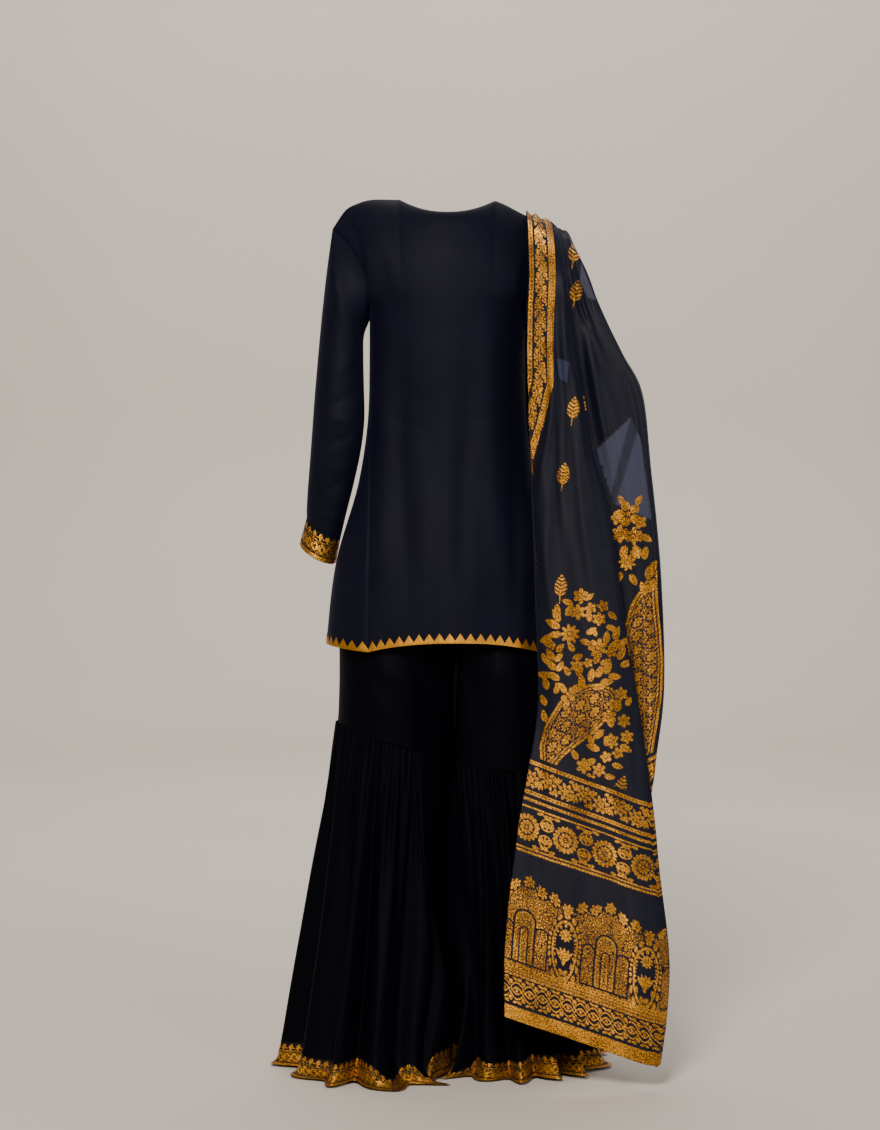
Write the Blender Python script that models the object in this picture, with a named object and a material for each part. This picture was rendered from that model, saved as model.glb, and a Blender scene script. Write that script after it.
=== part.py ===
"""A worn three-piece suit: a long tunic (kurta), wide gathered trousers (gharara) and a long scarf
(dupatta) over the right shoulder and arm. It keeps its hollow form on a general figure.

Metres, +Z up. The back faces -Y and the wearer's right side +X. The origin is on the centre line
at mid shoulder height. Every piece is a thin closed wall on a grid of points: the rows run down
the cloth, and the columns run to the right as seen from outside.
"""

import math

import bmesh
import bpy
import numpy as np

# Driving dimensions: the walls, the seams and the floor under the hem.
KURTA_WALL = 0.0015
GHARARA_WALL = 0.0012
DUPATTA_WALL = 0.0010
TRIM_WALL = 0.0010
SEAM_GAP, SEAM_SHARE = 0.0003, 0.6
# Where a neighbour is folded back over a seam, this much of its direction may still lean over it.
SEAM_FOLDED_BACK = 0.25
TRIM_LIFT = 0.0004
FLOOR_Z = -1.445

# Kurta: lengths from the origin, the armhole and the side seams.
UNDERARM_Z = -0.180
SHOULDER_TIP = 0.194
NECK_HALF_WIDTH = 0.081
BACK_NECK_Z, BACK_NECK_Y = -0.001, -0.058
FRONT_NECK_Z, FRONT_NECK_Y = -0.072, 0.070
ARMHOLE_BULGE = 0.060
LEFT_SEAM_X, RIGHT_SEAM_X = -0.131, 0.150
HEM_CENTRE_Z, HEM_SIDE_DROP = -0.719, 0.017
TRIM_EDGE, TRIM_TOOTH = 0.0025, 0.0115
BACK_TOOTH_SPLITS, FRONT_TOOTH_SPLITS = 1, 2
CUFF_ROWS = 2

# Gharara: the crotch, the gathered seam and the hem border.
WAIST_TOP_Z, WAIST_Z = -0.385, -0.425
CROTCH_Z, LEGS_APART_Z = -0.690, -0.780
INSEAM_X, LEG_FLATNESS = 0.0025, 0.92
LEFT_SEAM_Z, LEFT_SEAM_SLOPE = -0.918, 0.30
RIGHT_SEAM_Z, RIGHT_SEAM_SLOPE = -0.927, -0.08
SEAM_ROUNDING = 0.020
LEG_DROP, HEM_BORDER = 0.58, 0.052
LEAN, LEAN_WAVE, LEAN_REACH = 0.014, 0.023, 0.05
GATHERS, FLUTES = 42, 13
GATHER_DEPTH, FLUTE_DEPTH = 0.0030, 0.019
FLOOR_BEND = 0.012
LEAN_BEGINS, LEAN_FULL = 0.03, -0.04
TRAIL_EVERYWHERE, SECTION_STEP = 0.004, 0.002

# Dupatta: how it lies on the shoulder, and how deep its second layer is tucked behind the first.
SHOULDER_CLEAR, SHOULDER_PLEAT = 0.0030, 0.0028
TUCK_AT_SHOULDER, TUCK_DEPTH = 0.004, 0.110
FRONT_FALL_LENGTH, FRONT_FALL_Y, FRONT_FOLD = 1.02, 0.150, 0.012
FRONT_FALL_OUTER_X, FRONT_FALL_INNER_X = 0.185, 0.030
FAR_EDGE_TURN, FALL_RIPPLE = 0.006, 0.0035

# Grid sizes: the spaces between columns and rows.
NECK_COLUMNS, SHOULDER_COLUMNS = 8, 5
UPPER_ROWS, BODY_ROWS = 7, 6
THIGH_COLUMNS, HIP_ROWS, LEG_ROWS = 22, 5, 1
FLARE_ROWS = 6
SCARF_COLUMNS, SCARF_ROWS, FRONT_ROWS = 24, 18, 8
# The scarf's rows stand closer together near the shoulder, where it bends most.
LAST_STATION, ROW_CROWDING = 12, 1.15


def table(columns, rows):
    """A table as a dictionary from each column's name to its values."""
    return dict(zip(columns.split(), np.array(rows, float).T))


KURTA = table("z half_width back front", (
    (-0.750, 0.208, 0.137, 0.132),
    (-0.588, 0.189, 0.124, 0.122),
    (-0.450, 0.150, 0.104, 0.112),
    (-0.350, 0.135, 0.096, 0.112),
    (-0.250, 0.1318, 0.098, 0.118),
    (-0.180, 0.1315, 0.098, 0.112),
))
SHOULDER_LINE = table("x z", (
    (-0.194, -0.0255),
    (-0.172, 0.006),
    (-0.150, 0.018),
    (-0.081, 0.024),
    (0.0, 0.024),
    (0.081, 0.022),
    (0.136, -0.004),
    (0.170, -0.018),
    (0.194, -0.036),
))
# Each ring of a sleeve: its outer and inner points, its depth and how far it tips forward.
SLEEVE_LEFT = table("outer_x outer_z inner_x inner_z y half_depth tilt", (
    (-0.203, -0.090, -0.141, -0.206, -0.002, 0.056, 0),
    (-0.211, -0.160, -0.142, -0.246, -0.004, 0.054, 0),
    (-0.218, -0.235, -0.141, -0.290, -0.008, 0.052, 0),
    (-0.225, -0.315, -0.140, -0.348, -0.012, 0.050, 0),
    (-0.229, -0.365, -0.146, -0.400, -0.008, 0.046, 8),
    (-0.234, -0.425, -0.158, -0.455, 0.004, 0.041, 14),
    (-0.238, -0.475, -0.171, -0.505, 0.016, 0.037, 16),
    (-0.240, -0.515, -0.182, -0.550, 0.026, 0.034, 18),
))
SLEEVE_RIGHT = table("outer_x outer_z inner_x inner_z y half_depth tilt", (
    (0.212, -0.095, 0.143, -0.202, -0.004, 0.055, 0),
    (0.243, -0.170, 0.165, -0.244, -0.012, 0.053, 0),
    (0.274, -0.235, 0.192, -0.284, -0.024, 0.050, 6),
    (0.300, -0.286, 0.219, -0.322, -0.026, 0.048, 24),
    (0.308, -0.320, 0.226, -0.340, 0.002, 0.046, 52),
    (0.300, -0.334, 0.220, -0.346, 0.048, 0.042, 74),
    (0.288, -0.340, 0.212, -0.350, 0.098, 0.038, 84),
    (0.276, -0.344, 0.206, -0.352, 0.146, 0.035, 87),
))
CUFF_LEFT = table("outer_x outer_z inner_x inner_z y half_depth tilt", (
    (-0.240, -0.515, -0.182, -0.550, 0.026, 0.034, 18),
    (-0.2525, -0.559, -0.190, -0.590, 0.036, 0.038, 18),
))
CUFF_RIGHT = table("outer_x outer_z inner_x inner_z y half_depth tilt", (
    (0.276, -0.344, 0.206, -0.352, 0.146, 0.035, 87),
    (0.273, -0.346, 0.200, -0.354, 0.189, 0.039, 87),
))
HIPS = table("z half_width back front", (
    (-0.940, 0.188, 0.108, 0.104),
    (-0.780, 0.184, 0.112, 0.106),
    (-0.690, 0.184, 0.118, 0.108),
    (-0.600, 0.182, 0.1215, 0.108),
    (-0.500, 0.148, 0.105, 0.104),
    (-0.425, 0.122, 0.088, 0.098),
    (-0.385, 0.118, 0.084, 0.094),
))
# The gathered leg by its distance below the seam: how far it reaches each way.
FLARE = table("below outer inner back front", (
    (0.000, 0.188, 0.0025, 0.104, 0.100),
    (0.080, 0.198, 0.0040, 0.112, 0.106),
    (0.230, 0.216, 0.0045, 0.126, 0.116),
    (0.380, 0.234, 0.0045, 0.140, 0.126),
    (0.470, 0.247, 0.0050, 0.152, 0.136),
    (0.560, 0.262, 0.0050, 0.166, 0.146),
))
# Where the hem trails on the floor: each place on the leg, its spread and the cloth lying there.
TRAILS_LEFT = table("turn spread length", (
    (0.18, 0.045, 0.105),
    (0.31, 0.050, 0.085),
    (0.52, 0.120, 0.012),
    (0.80, 0.100, 0.020),
))
TRAILS_RIGHT = table("turn spread length", (
    (0.13, 0.050, 0.050),
    (0.22, 0.055, 0.055),
    (0.46, 0.120, 0.012),
    (0.78, 0.100, 0.020),
))
# The scarf down the back, by stations along it: its long edge, its ridge fold and its outer fold.
BACK_FALL = table("station edge_x edge_z ridge_x ridge_z outer_x outer_z front_y back_y far_y", (
    (0, 0.134, 0.010, 0.176, -0.014, 0.189, -0.024, 0.000, 0.000, 0.000),
    (0.5, 0.1345, -0.038, 0.190, -0.052, 0.207, -0.052, -0.074, -0.050, -0.014),
    (1, 0.1355, -0.095, 0.196, -0.102, 0.2266, -0.089, -0.106, -0.074, -0.006),
    (2, 0.133, -0.168, 0.208, -0.178, 0.2545, -0.158, -0.115, -0.084, 0.025),
    (3, 0.132, -0.250, 0.221, -0.269, 0.291, -0.240, -0.120, -0.092, 0.040),
    (4, 0.135, -0.350, 0.2395, -0.373, 0.3227, -0.308, -0.124, -0.096, 0.035),
    (5, 0.137, -0.482, 0.271, -0.515, 0.3377, -0.432, -0.131, -0.100, 0.040),
    (6, 0.142, -0.647, 0.297, -0.700, 0.356, -0.615, -0.142, -0.106, 0.045),
    (7, 0.1465, -0.812, 0.325, -0.874, 0.360, -0.798, -0.157, -0.120, 0.040),
    (8, 0.1315, -0.930, 0.342, -1.007, 0.345, -0.922, -0.171, -0.136, 0.020),
    (9, 0.118, -1.010, 0.350, -1.0895, 0.330, -1.004, -0.181, -0.146, 0.010),
    (10, 0.100, -1.143, 0.3655, -1.227, 0.334, -1.127, -0.198, -0.160, 0.000),
    (11, 0.093, -1.235, 0.363, -1.325, 0.333, -1.224, -0.207, -0.168, 0.000),
    (12, 0.093, -1.325, 0.352, -1.4105, 0.331, -1.306, -0.217, -0.176, 0.000),
))
# The folded scarf across: each layer's place from the long edge (0) to the ridge (1) or from the
# tuck (0) to the outer fold (1), how deep it lies from the front layer (0) to the back one (1),
# and how far its height has gone from the ridge's to the outer fold's.
FOLDS = table("across front ridge outer depth height", (
    (0.00, 1.00, 0.00, 0.00, 0.00, 0),
    (0.14, 0.72, 0.28, 0.00, -0.22, 0),
    (0.28, 0.40, 0.60, 0.00, -0.30, 0),
    (0.40, 0.06, 0.94, 0.00, -0.05, 0),
    (0.44, 0.00, 0.99, 0.00, 0.20, 0.05),
    (0.52, 0.06, 0.80, 0.00, 0.45, 0.25),
    (0.585, 0.08, 0.70, 0.04, 0.66, 0.50),
    (0.64, 0.06, 0.62, 0.20, 0.88, 0.70),
    (0.76, 0.00, 0.24, 0.76, 1.00, 0.95),
    (0.84, 0.00, 0.00, 1.00, 1.12, 1.0),
))


def smooth_read(rows, column, at, key="z"):
    """A column read at values of the key column, on a smooth curve through the rows."""
    order = np.argsort(rows[key])
    keys, values = rows[key][order], rows[column][order]
    slopes = np.gradient(values, keys)
    at = np.clip(at, keys[0], keys[-1])
    i = np.clip(np.searchsorted(keys, at) - 1, 0, len(keys) - 2)
    span = keys[i + 1] - keys[i]
    t = (at - keys[i]) / span
    start = (2 * t**3 - 3 * t**2 + 1) * values[i] + (t**3 - 2 * t**2 + t) * span * slopes[i]
    end = (3 * t**2 - 2 * t**3) * values[i + 1] + (t**3 - t**2) * span * slopes[i + 1]
    return start + end


def step(low, high, x):
    """A smooth step from 0 at low to 1 at high."""
    t = np.clip((x - low) / (high - low), 0, 1)
    return t * t * (3 - 2 * t)


def mix(a, b, share):
    return a + (b - a) * share


def grid(rows, columns):
    """Every pair of a row value and a column value, as two arrays."""
    return np.meshgrid(np.asarray(rows, float), np.asarray(columns, float), indexing="ij")


# Kurta body


def shoulder_z(x):
    return smooth_read(SHOULDER_LINE, "z", x, key="x")


def top_edge(x, back):
    """The neckline and the shoulder seam, as (y, z)."""
    near = np.clip(np.abs(x) / NECK_HALF_WIDTH, 0, 1)
    neck_y, neck_z = (BACK_NECK_Y, BACK_NECK_Z) if back else (FRONT_NECK_Y, FRONT_NECK_Z)
    y = neck_y * np.sqrt(1 - near**2)
    z = neck_z + (shoulder_z(np.sign(x) * NECK_HALF_WIDTH) - neck_z) * near**2.2
    return y, np.where(near < 1, z, shoulder_z(x))


def kurta_section(across, z, back):
    """The body below the underarm: across is -1 to 1 between the side seams, seen from behind."""
    half = smooth_read(KURTA, "half_width", z)
    left = np.arcsin(np.clip(LEFT_SEAM_X / half, -1, 1))
    right_x = mix(-LEFT_SEAM_X, RIGHT_SEAM_X, step(UNDERARM_Z, -0.50, z))
    right = np.arcsin(np.clip(right_x / half, -1, 1))
    if not back:
        left, right = -math.pi - left, math.pi - right
        across = across * np.abs(across) ** 0.12
    turn = mix(left, right, (across + 1) / 2)
    turn = turn if back else math.pi - turn
    low = step(-0.45, -0.74, z)
    waves = 1 + low * 0.030 * np.sin(7 * turn + 1.2) + low * 0.014 * np.sin(13 * turn)
    depth = np.where(np.cos(turn) > 0, smooth_read(KURTA, "back", z), smooth_read(KURTA, "front", z))
    return half * np.sin(turn), -depth * np.cos(turn) * waves


def armhole_trim(across, y_low, up, back):
    """The underarm section's depth, drawn in so that the panel's side edges follow the armhole."""
    side = np.where(across < 0, -1.0, 1.0)
    _, y_seam = kurta_section(side, np.full_like(across, UNDERARM_Z), back)
    _, y_middle = kurta_section(0 * across, np.full_like(across, UNDERARM_Z), back)
    bulge = ARMHOLE_BULGE * np.sin(math.pi * up) ** 0.7 * (-1 if back else 1)
    y_edge = mix(y_seam, bulge, step(0, 0.25, up))
    return y_edge + (y_low - y_seam) * (y_middle - y_edge) / (y_middle - y_seam)


def kurta_panel(across, down, back):
    """A point of the front or back: down is -1 at the top edge, 0 at the underarm, 1 at the hem."""
    hem = HEM_CENTRE_Z - HEM_SIDE_DROP * np.abs(across) ** 2
    z_low = mix(UNDERARM_Z, hem, np.clip(down, 0, 1))
    x_low, y_low = kurta_section(across, z_low, back)
    up = np.sin(np.clip(-down, 0, 1) * math.pi / 2)
    roll = 1 - np.sqrt(np.clip(1 - up**2, 0, 1))
    y_top, z_top = top_edge(across * SHOULDER_TIP, back)
    x_up = mix(x_low, across * SHOULDER_TIP, up**2.8)
    y_up = mix(armhole_trim(across, y_low, up, back), y_top, roll)
    z_up = mix(UNDERARM_Z, z_top, up)
    above = down < 0
    return np.stack([
        np.where(above, x_up, x_low), np.where(above, y_up, y_low), np.where(above, z_up, z_low),
    ], axis=-1)


def across_values():
    neck = NECK_HALF_WIDTH / SHOULDER_TIP
    side = np.linspace(neck, 1, SHOULDER_COLUMNS + 1)[1:]
    return np.concatenate([-side[::-1], np.linspace(-neck, neck, NECK_COLUMNS + 1), side])


def down_values():
    return np.concatenate([np.linspace(-1, 0, UPPER_ROWS + 1)[:-1], np.linspace(0, 1, BODY_ROWS + 1)])


def kurta_points(back):
    down, across = grid(down_values(), across_values() if back else across_values()[::-1])
    return kurta_panel(across, down, back)


def hem_trim_points(panel, splits):
    """The sawtooth edging: its teeth share the panel's columns, split in halves that many times."""
    edge, above = panel[-1], panel[-2]
    for _ in range(splits):
        edge, above = twice(edge), twice(above)
    up = (above - edge) / np.linalg.norm(above - edge, axis=1, keepdims=True)
    height = np.where(np.arange(len(edge)) % 2, TRIM_EDGE + TRIM_TOOTH, TRIM_EDGE)
    return np.stack([edge + up * height[:, None], edge])


def twice(line):
    """The line with a point halfway along each of its pieces."""
    out = np.empty((2 * len(line) - 1, 3))
    out[::2], out[1::2] = line, (line[:-1] + line[1:]) / 2
    return out


# Sleeves


def armhole(side):
    """The armhole as a ring that starts at the shoulder tip and runs to the right seen from outside."""
    up = np.linspace(-1, 0, UPPER_ROWS + 1)
    back = kurta_panel(np.full(len(up), float(side)), up, True)
    front = kurta_panel(np.full(len(up), float(side)), up, False)
    first, second = (back, front) if side < 0 else (front, back)
    return np.concatenate([first, second[-2:0:-1]])


def sleeve_ring(rows, at, side, count):
    """One ring of a sleeve, read at a row number that may lie between two rows."""
    row = {name: np.interp(at, np.arange(len(values)), values) for name, values in rows.items()}
    turn = 2 * math.pi * np.arange(count) / count
    outer = np.array([row["outer_x"], row["y"], row["outer_z"]])
    inner = np.array([row["inner_x"], row["y"], row["inner_z"]])
    tilt = math.radians(row["tilt"])
    forward = np.array([0, math.cos(tilt), math.sin(tilt)]) * row["half_depth"] * side
    return (
        (outer + inner) / 2
        + np.cos(turn)[:, None] * (outer - inner) / 2
        + np.sin(turn)[:, None] * forward
    )


def sleeve_points(rows, side):
    start = armhole(side)
    rings = [start]
    for i in range(len(rows["y"])):
        ring = sleeve_ring(rows, i, side, len(start))
        rings.append(ring)
    return np.stack(rings)


def cuff_points(rows, side, count):
    return np.stack([sleeve_ring(rows, at, side, count) for at in np.linspace(0, 1, CUFF_ROWS + 1)])


# Gharara


def seam_z(x, side):
    """The height of the gathered seam: it slopes up and out on the left and lies level on the right."""
    out = np.hypot(x, SEAM_ROUNDING)
    return LEFT_SEAM_Z + LEFT_SEAM_SLOPE * out if side < 0 else RIGHT_SEAM_Z + RIGHT_SEAM_SLOPE * out


def lean(points):
    """Both legs' inner sides bend together, so that each flute fits into its neighbour's hollow."""
    x, y, z = points[..., 0], points[..., 1], points[..., 2]
    below_crotch = step(CROTCH_Z + LEAN_BEGINS, CROTCH_Z + LEAN_FULL, z)
    near = np.exp(-((x / LEAN_REACH) ** 2))
    shift = LEAN * below_crotch * near * np.sin(y / LEAN_WAVE + 5 * z)
    return np.stack([x + shift, y, z], axis=-1)


def thigh_point(turn, down, side):
    """turn runs from 0 to 1 to the right as seen from outside, from the inseam round to it again.
    down is -1 at the waist, 0 where the legs are fully apart and 1 at the gathered seam."""
    z = mix(LEGS_APART_Z, WAIST_Z, np.clip(-down, 0, 1))
    z = np.where(down > 0, mix(LEGS_APART_Z, seam_z(0.1, side), down), z)
    beta = math.pi * (turn if side > 0 else 1 - turn)
    half = smooth_read(HIPS, "half_width", z)
    depth = np.where(beta < math.pi / 2, smooth_read(HIPS, "back", z), smooth_read(HIPS, "front", z))
    body = half * np.sin(beta), -depth * np.cos(beta)
    centre, radius = (half + INSEAM_X) / 2, (half - INSEAM_X) / 2
    leg = centre - radius * np.cos(2 * beta), -depth * np.sin(2 * beta) * LEG_FLATNESS
    parted = step(CROTCH_Z, LEGS_APART_Z, z)
    x, y = mix(body[0], leg[0], parted), mix(body[1], leg[1], parted)
    z = np.where(down > 0, mix(LEGS_APART_Z, seam_z(x, side), down), z)
    return lean(np.stack([side * x, y, z], axis=-1))


def thigh_points(side):
    rows = np.concatenate([np.linspace(-1, 0, HIP_ROWS + 1), np.linspace(0, 1, LEG_ROWS + 1)[1:]])
    down, turn = grid(rows, np.linspace(0, 1, THIGH_COLUMNS + 1))
    return thigh_point(turn, down, side)


def waistband_points():
    z, turn = grid([WAIST_TOP_Z, WAIST_Z], np.arange(2 * THIGH_COLUMNS) / (2 * THIGH_COLUMNS))
    angle = 2 * math.pi * turn
    half = smooth_read(HIPS, "half_width", z)
    depth = np.where(np.cos(angle) > 0, smooth_read(HIPS, "back", z), smooth_read(HIPS, "front", z))
    return np.stack([half * np.sin(angle), -depth * np.cos(angle), z], axis=-1)


def trail(turn, side):
    """How much cloth lies on the floor at each place round the hem."""
    rows = TRAILS_LEFT if side < 0 else TRAILS_RIGHT
    back_turn = turn if side > 0 else 1 - turn
    total = np.full_like(turn, TRAIL_EVERYWHERE)
    for place, spread, length in zip(rows["turn"], rows["spread"], rows["length"]):
        total = total + length * np.exp(-(((back_turn - place) / spread) ** 2))
    return total


def leg_section(turn, below, side):
    """The leg's ring without its flutes. turn 0 is at the inseam and, on the right leg, 0.25 behind."""
    angle = 2 * math.pi * (turn if side > 0 else 1 - turn)
    read = {name: smooth_read(FLARE, name, below, key="below") for name in FLARE if name != "below"}
    centre = (read["outer"] + read["inner"]) / 2
    radius = (read["outer"] - read["inner"]) / 2
    depth = np.where(np.sin(angle) > 0, read["back"], read["front"])
    lobe = np.abs(np.cos(angle)) ** LEG_FLATNESS * np.sign(np.cos(angle))
    return side * (centre - radius * lobe), -depth * np.sin(angle) * LEG_FLATNESS


def flare_point(turn, along, side, gather_turn):
    """A point of the gathered leg: along is 0 at the seam and 1 at the hem, measured on the cloth."""
    x_seam, _ = leg_section(turn, np.zeros_like(turn), side)
    top = seam_z(x_seam, side) - SEAM_GAP
    drop = top - FLOOR_Z
    length = along * (drop + trail(turn, side))
    excess = np.logaddexp(0, (length - drop) / FLOOR_BEND) * FLOOR_BEND
    below = length - excess
    x, y = leg_section(turn, below, side)
    ahead = leg_section(turn + SECTION_STEP, below, side)
    behind = leg_section(turn - SECTION_STEP, below, side)
    out = np.stack([ahead[1] - behind[1], behind[0] - ahead[0]], axis=-1)
    out = out / np.linalg.norm(out, axis=-1, keepdims=True)
    phase = turn * 2 * math.pi
    bends = 1.1 * np.sin(3 * phase + 0.6 * side) + 0.8 * np.sin(2 * phase + 1.9 + side)
    flute = np.cos(FLUTES * phase + bends) + 0.35 * np.sin((FLUTES + 6) * phase + 2.0 * bends)
    growth = step(-0.05, 0.50, length)
    gather = GATHER_DEPTH * (1 - step(0.02, 0.30, length)) * (0.75 + 0.25 * np.sin(5 * phase + side))
    inner = 1 - 0.95 * step(0.35, 0.90, np.cos(2 * math.pi * turn))
    push = FLUTE_DEPTH * growth * flute * inner * (1 - 0.4 * step(0.0, 0.08, excess))
    push = push + gather * gather_turn + excess * np.abs(np.sin(math.pi * turn)) ** 0.3
    return lean(np.stack([x + out[..., 0] * push, y + out[..., 1] * push, top - below], axis=-1))


def flare_grid(side, along):
    count = 2 * GATHERS
    along, turn = grid(along, np.arange(count) / count)
    gather_turn = np.where(np.arange(count) % 2, 0.5, -0.5) * np.ones_like(turn)
    return flare_point(turn, along, side, gather_turn)


def border_start():
    return 1 - HEM_BORDER / LEG_DROP


def flare_points(side):
    return flare_grid(side, border_start() * np.linspace(0, 1, FLARE_ROWS + 1))


def hem_border_points(side):
    return flare_grid(side, [border_start(), 1])


# Dupatta


def fall_point(across, station):
    """The scarf down the back. across runs over its width, through its folds, from the long edge."""
    row = {name: smooth_read(BACK_FALL, name, station, key="station") for name in BACK_FALL}
    part = {name: smooth_read(FOLDS, name, across, key="across") for name in FOLDS}
    rest = 1 - part["front"] - part["ridge"] - part["outer"]
    tuck_x = row["ridge_x"] + TUCK_AT_SHOULDER - TUCK_DEPTH * step(0, 4, station)
    x = (
        part["front"] * row["edge_x"]
        + part["ridge"] * row["ridge_x"]
        + part["outer"] * row["outer_x"]
        + rest * tuck_x
    )
    down = mix(part["ridge"] / np.maximum(part["front"] + part["ridge"], 1e-6), 1, part["height"] > 0)
    z = mix(mix(row["edge_z"], row["ridge_z"], down), row["outer_z"], part["height"])
    y = mix(row["front_y"], row["back_y"], part["depth"])
    far = step(0.84, 1.0, across)
    x = x + far * FAR_EDGE_TURN
    y = mix(y, row["far_y"], far)
    pleats = SHOULDER_PLEAT * (1 + np.cos(12 * math.pi * across))
    on_shoulder = shoulder_z(x) + SHOULDER_CLEAR + pleats
    z = mix(on_shoulder, z, step(0, 0.6, station))
    ripple = FALL_RIPPLE * step(1, 6, station) * np.sin(19 * across + 0.35 * station) * (1 - far)
    return np.stack([x, y + ripple, z], axis=-1)


def back_fall_points():
    station, across = grid(
        LAST_STATION * (np.arange(SCARF_ROWS + 1) / SCARF_ROWS) ** ROW_CROWDING,
        np.linspace(0, 1, SCARF_COLUMNS + 1),
    )
    return fall_point(across, station)


def front_fall_points():
    """The scarf down the front, hidden in the picture: three plain soft folds."""
    top = fall_point(np.linspace(0, 1, SCARF_COLUMNS + 1), np.zeros(SCARF_COLUMNS + 1))[::-1]
    rows = np.linspace(0, 1, FRONT_ROWS + 1) ** 1.3
    down, across = grid(rows, np.linspace(0, 1, SCARF_COLUMNS + 1))
    spread = step(0, 0.5, down)
    x = mix(top[None, :, 0], mix(FRONT_FALL_OUTER_X, FRONT_FALL_INNER_X, across), spread)
    y_fold = FRONT_FOLD * np.cos(6 * math.pi * across)
    y = mix(top[None, :, 1], FRONT_FALL_Y + y_fold, step(0, 0.12, down) ** 0.6)
    z = top[None, :, 2] - FRONT_FALL_LENGTH * down**1.1 * (1 + 0.02 * across)
    return np.stack([x, y, z], axis=-1)


# Walls


def normals_of(points, wraps):
    """The outward direction at each point of a grid."""
    def difference(values, axis, wrap):
        if wrap:
            return np.roll(values, -1, axis) - np.roll(values, 1, axis)
        return np.gradient(values, axis=axis)

    normal = np.cross(difference(points, 0, False), difference(points, 1, wraps))
    return normal / np.maximum(np.linalg.norm(normal, axis=-1, keepdims=True), 1e-12)


def border_keys(piece):
    """The place of each point on a piece's edges, for finding the edges that meet."""
    rows, columns = piece["points"].shape[:2]
    for r in range(rows):
        for c in range(columns):
            on_row_edge = r in (0, rows - 1)
            on_column_edge = not piece["wraps"] and c in (0, columns - 1)
            if on_row_edge or on_column_edge:
                yield (r, c), tuple(np.round(piece["points"][r, c], 5) + 0.0)


def seam_neighbours(piece, r, c):
    """For each edge that a point lies on: the point inside it, and the two beside it on the edge."""
    points = piece["points"]
    rows, columns = points.shape[:2]
    if r in (0, rows - 1):
        before, after = max(c - 1, 0), min(c + 1, columns - 1)
        if piece["wraps"]:
            before, after = (c - 1) % columns, (c + 1) % columns
        yield points[1 if r == 0 else r - 1, c], points[r, after] - points[r, before]
    if not piece["wraps"] and c in (0, columns - 1):
        along = points[min(r + 1, rows - 1), c] - points[max(r - 1, 0), c]
        yield points[r, 1 if c == 0 else c - 1], along


def join_seams(pieces):
    """Points that two pieces share get one wall direction, and then stand half a gap back."""
    meeting = {}
    for piece in pieces:
        piece["normals"] = normals_of(piece["points"], piece["wraps"])
        for place, key in border_keys(piece):
            meeting.setdefault(key, []).append((piece, place))
    pulls = []
    for members in meeting.values():
        if len(members) < 2:
            continue
        own = np.array([piece["normals"][place] for piece, place in members])
        leans = np.array([
            sum(inside - piece["points"][place] for inside, _ in seam_neighbours(piece, *place))
            for piece, place in members
        ])
        leans = leans / np.linalg.norm(leans, axis=1, keepdims=True)
        agree = (own @ own.T > 0.2) | (own @ leans.T < SEAM_FOLDED_BACK)
        for (piece, place), alike in zip(members, agree):
            mean = own[alike].sum(axis=0)
            piece["normals"][place] = mean / np.linalg.norm(mean)
            if not alike.all():
                pulls.append((piece, place, -piece["normals"][place] * SEAM_GAP))
            for inside, along in seam_neighbours(piece, *place):
                pull = inside - piece["points"][place]
                for away in (piece["normals"][place], along / np.linalg.norm(along)):
                    pull = pull - away * (pull @ away)
                pulls.append((piece, place, pull / np.linalg.norm(pull) * SEAM_GAP * SEAM_SHARE))
    for piece, place, pull in pulls:
        piece["points"][place] += pull


def wall_faces(rows, columns, wraps, mirrored):
    """Triangles of a thin closed wall: its outside, its inside and its rims."""
    count = rows * columns
    across = range(columns if wraps else columns - 1)
    faces = []

    def quad(a, b, c, d):
        if mirrored:
            a, b, c, d = b, c, d, a
        faces.append((a, b, c))
        faces.append((a, c, d))

    for r in range(rows - 1):
        for c in across:
            a, b = r * columns + c, (r + 1) * columns + c
            d, e = r * columns + (c + 1) % columns, (r + 1) * columns + (c + 1) % columns
            quad(a, b, e, d)
            quad(count + e, count + b, count + a, count + d)
    for c in across:
        a, d = c, (c + 1) % columns
        quad(a, d, count + d, count + a)
        a, d = (rows - 1) * columns + d, (rows - 1) * columns + c
        quad(a, d, count + d, count + a)
    if not wraps:
        for r in range(rows - 1):
            a, d = (r + 1) * columns, r * columns
            quad(a, d, count + d, count + a)
            a, d = r * columns + columns - 1, (r + 1) * columns + columns - 1
            quad(a, d, count + d, count + a)
    return faces


def build_wall(piece):
    """Makes a piece's object from its outer points and its wall directions."""
    outer = piece["points"] + piece["normals"] * piece.get("lift", 0)
    inner = outer - piece["normals"] * piece["wall"]
    if "level" in piece:
        row, side, gap = piece["level"]
        for layer in (outer, inner):
            layer[row, :, 2] = seam_z(layer[row, :, 0], side) + gap
    rows, columns = outer.shape[:2]
    points = np.concatenate([outer.reshape(-1, 3), inner.reshape(-1, 3)])
    mesh = bpy.data.meshes.new(piece["name"])
    faces = wall_faces(rows, columns, piece["wraps"], piece["name"].endswith("left"))
    mesh.from_pydata([tuple(p) for p in points], [], faces)
    tidy = bmesh.new()
    tidy.from_mesh(mesh)
    if tidy.calc_volume(signed=True) < 0:
        bmesh.ops.reverse_faces(tidy, faces=tidy.faces)
    tidy.to_mesh(mesh)
    tidy.free()
    mesh.shade_smooth()
    mesh.materials.append(piece["material"])
    made = bpy.data.objects.new(piece["name"], mesh)
    bpy.context.scene.collection.objects.link(made)
    return made


# Materials


def material(name, color, roughness, metallic=0.0):
    made = bpy.data.materials.new(name)
    made.use_nodes = True
    surface = made.node_tree.nodes["Principled BSDF"]
    surface.inputs["Base Color"].default_value = (*color, 1)
    surface.inputs["Roughness"].default_value = roughness
    surface.inputs["Metallic"].default_value = metallic
    return made


def clear_scene():
    for old in list(bpy.data.objects):
        bpy.data.objects.remove(old)


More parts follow.
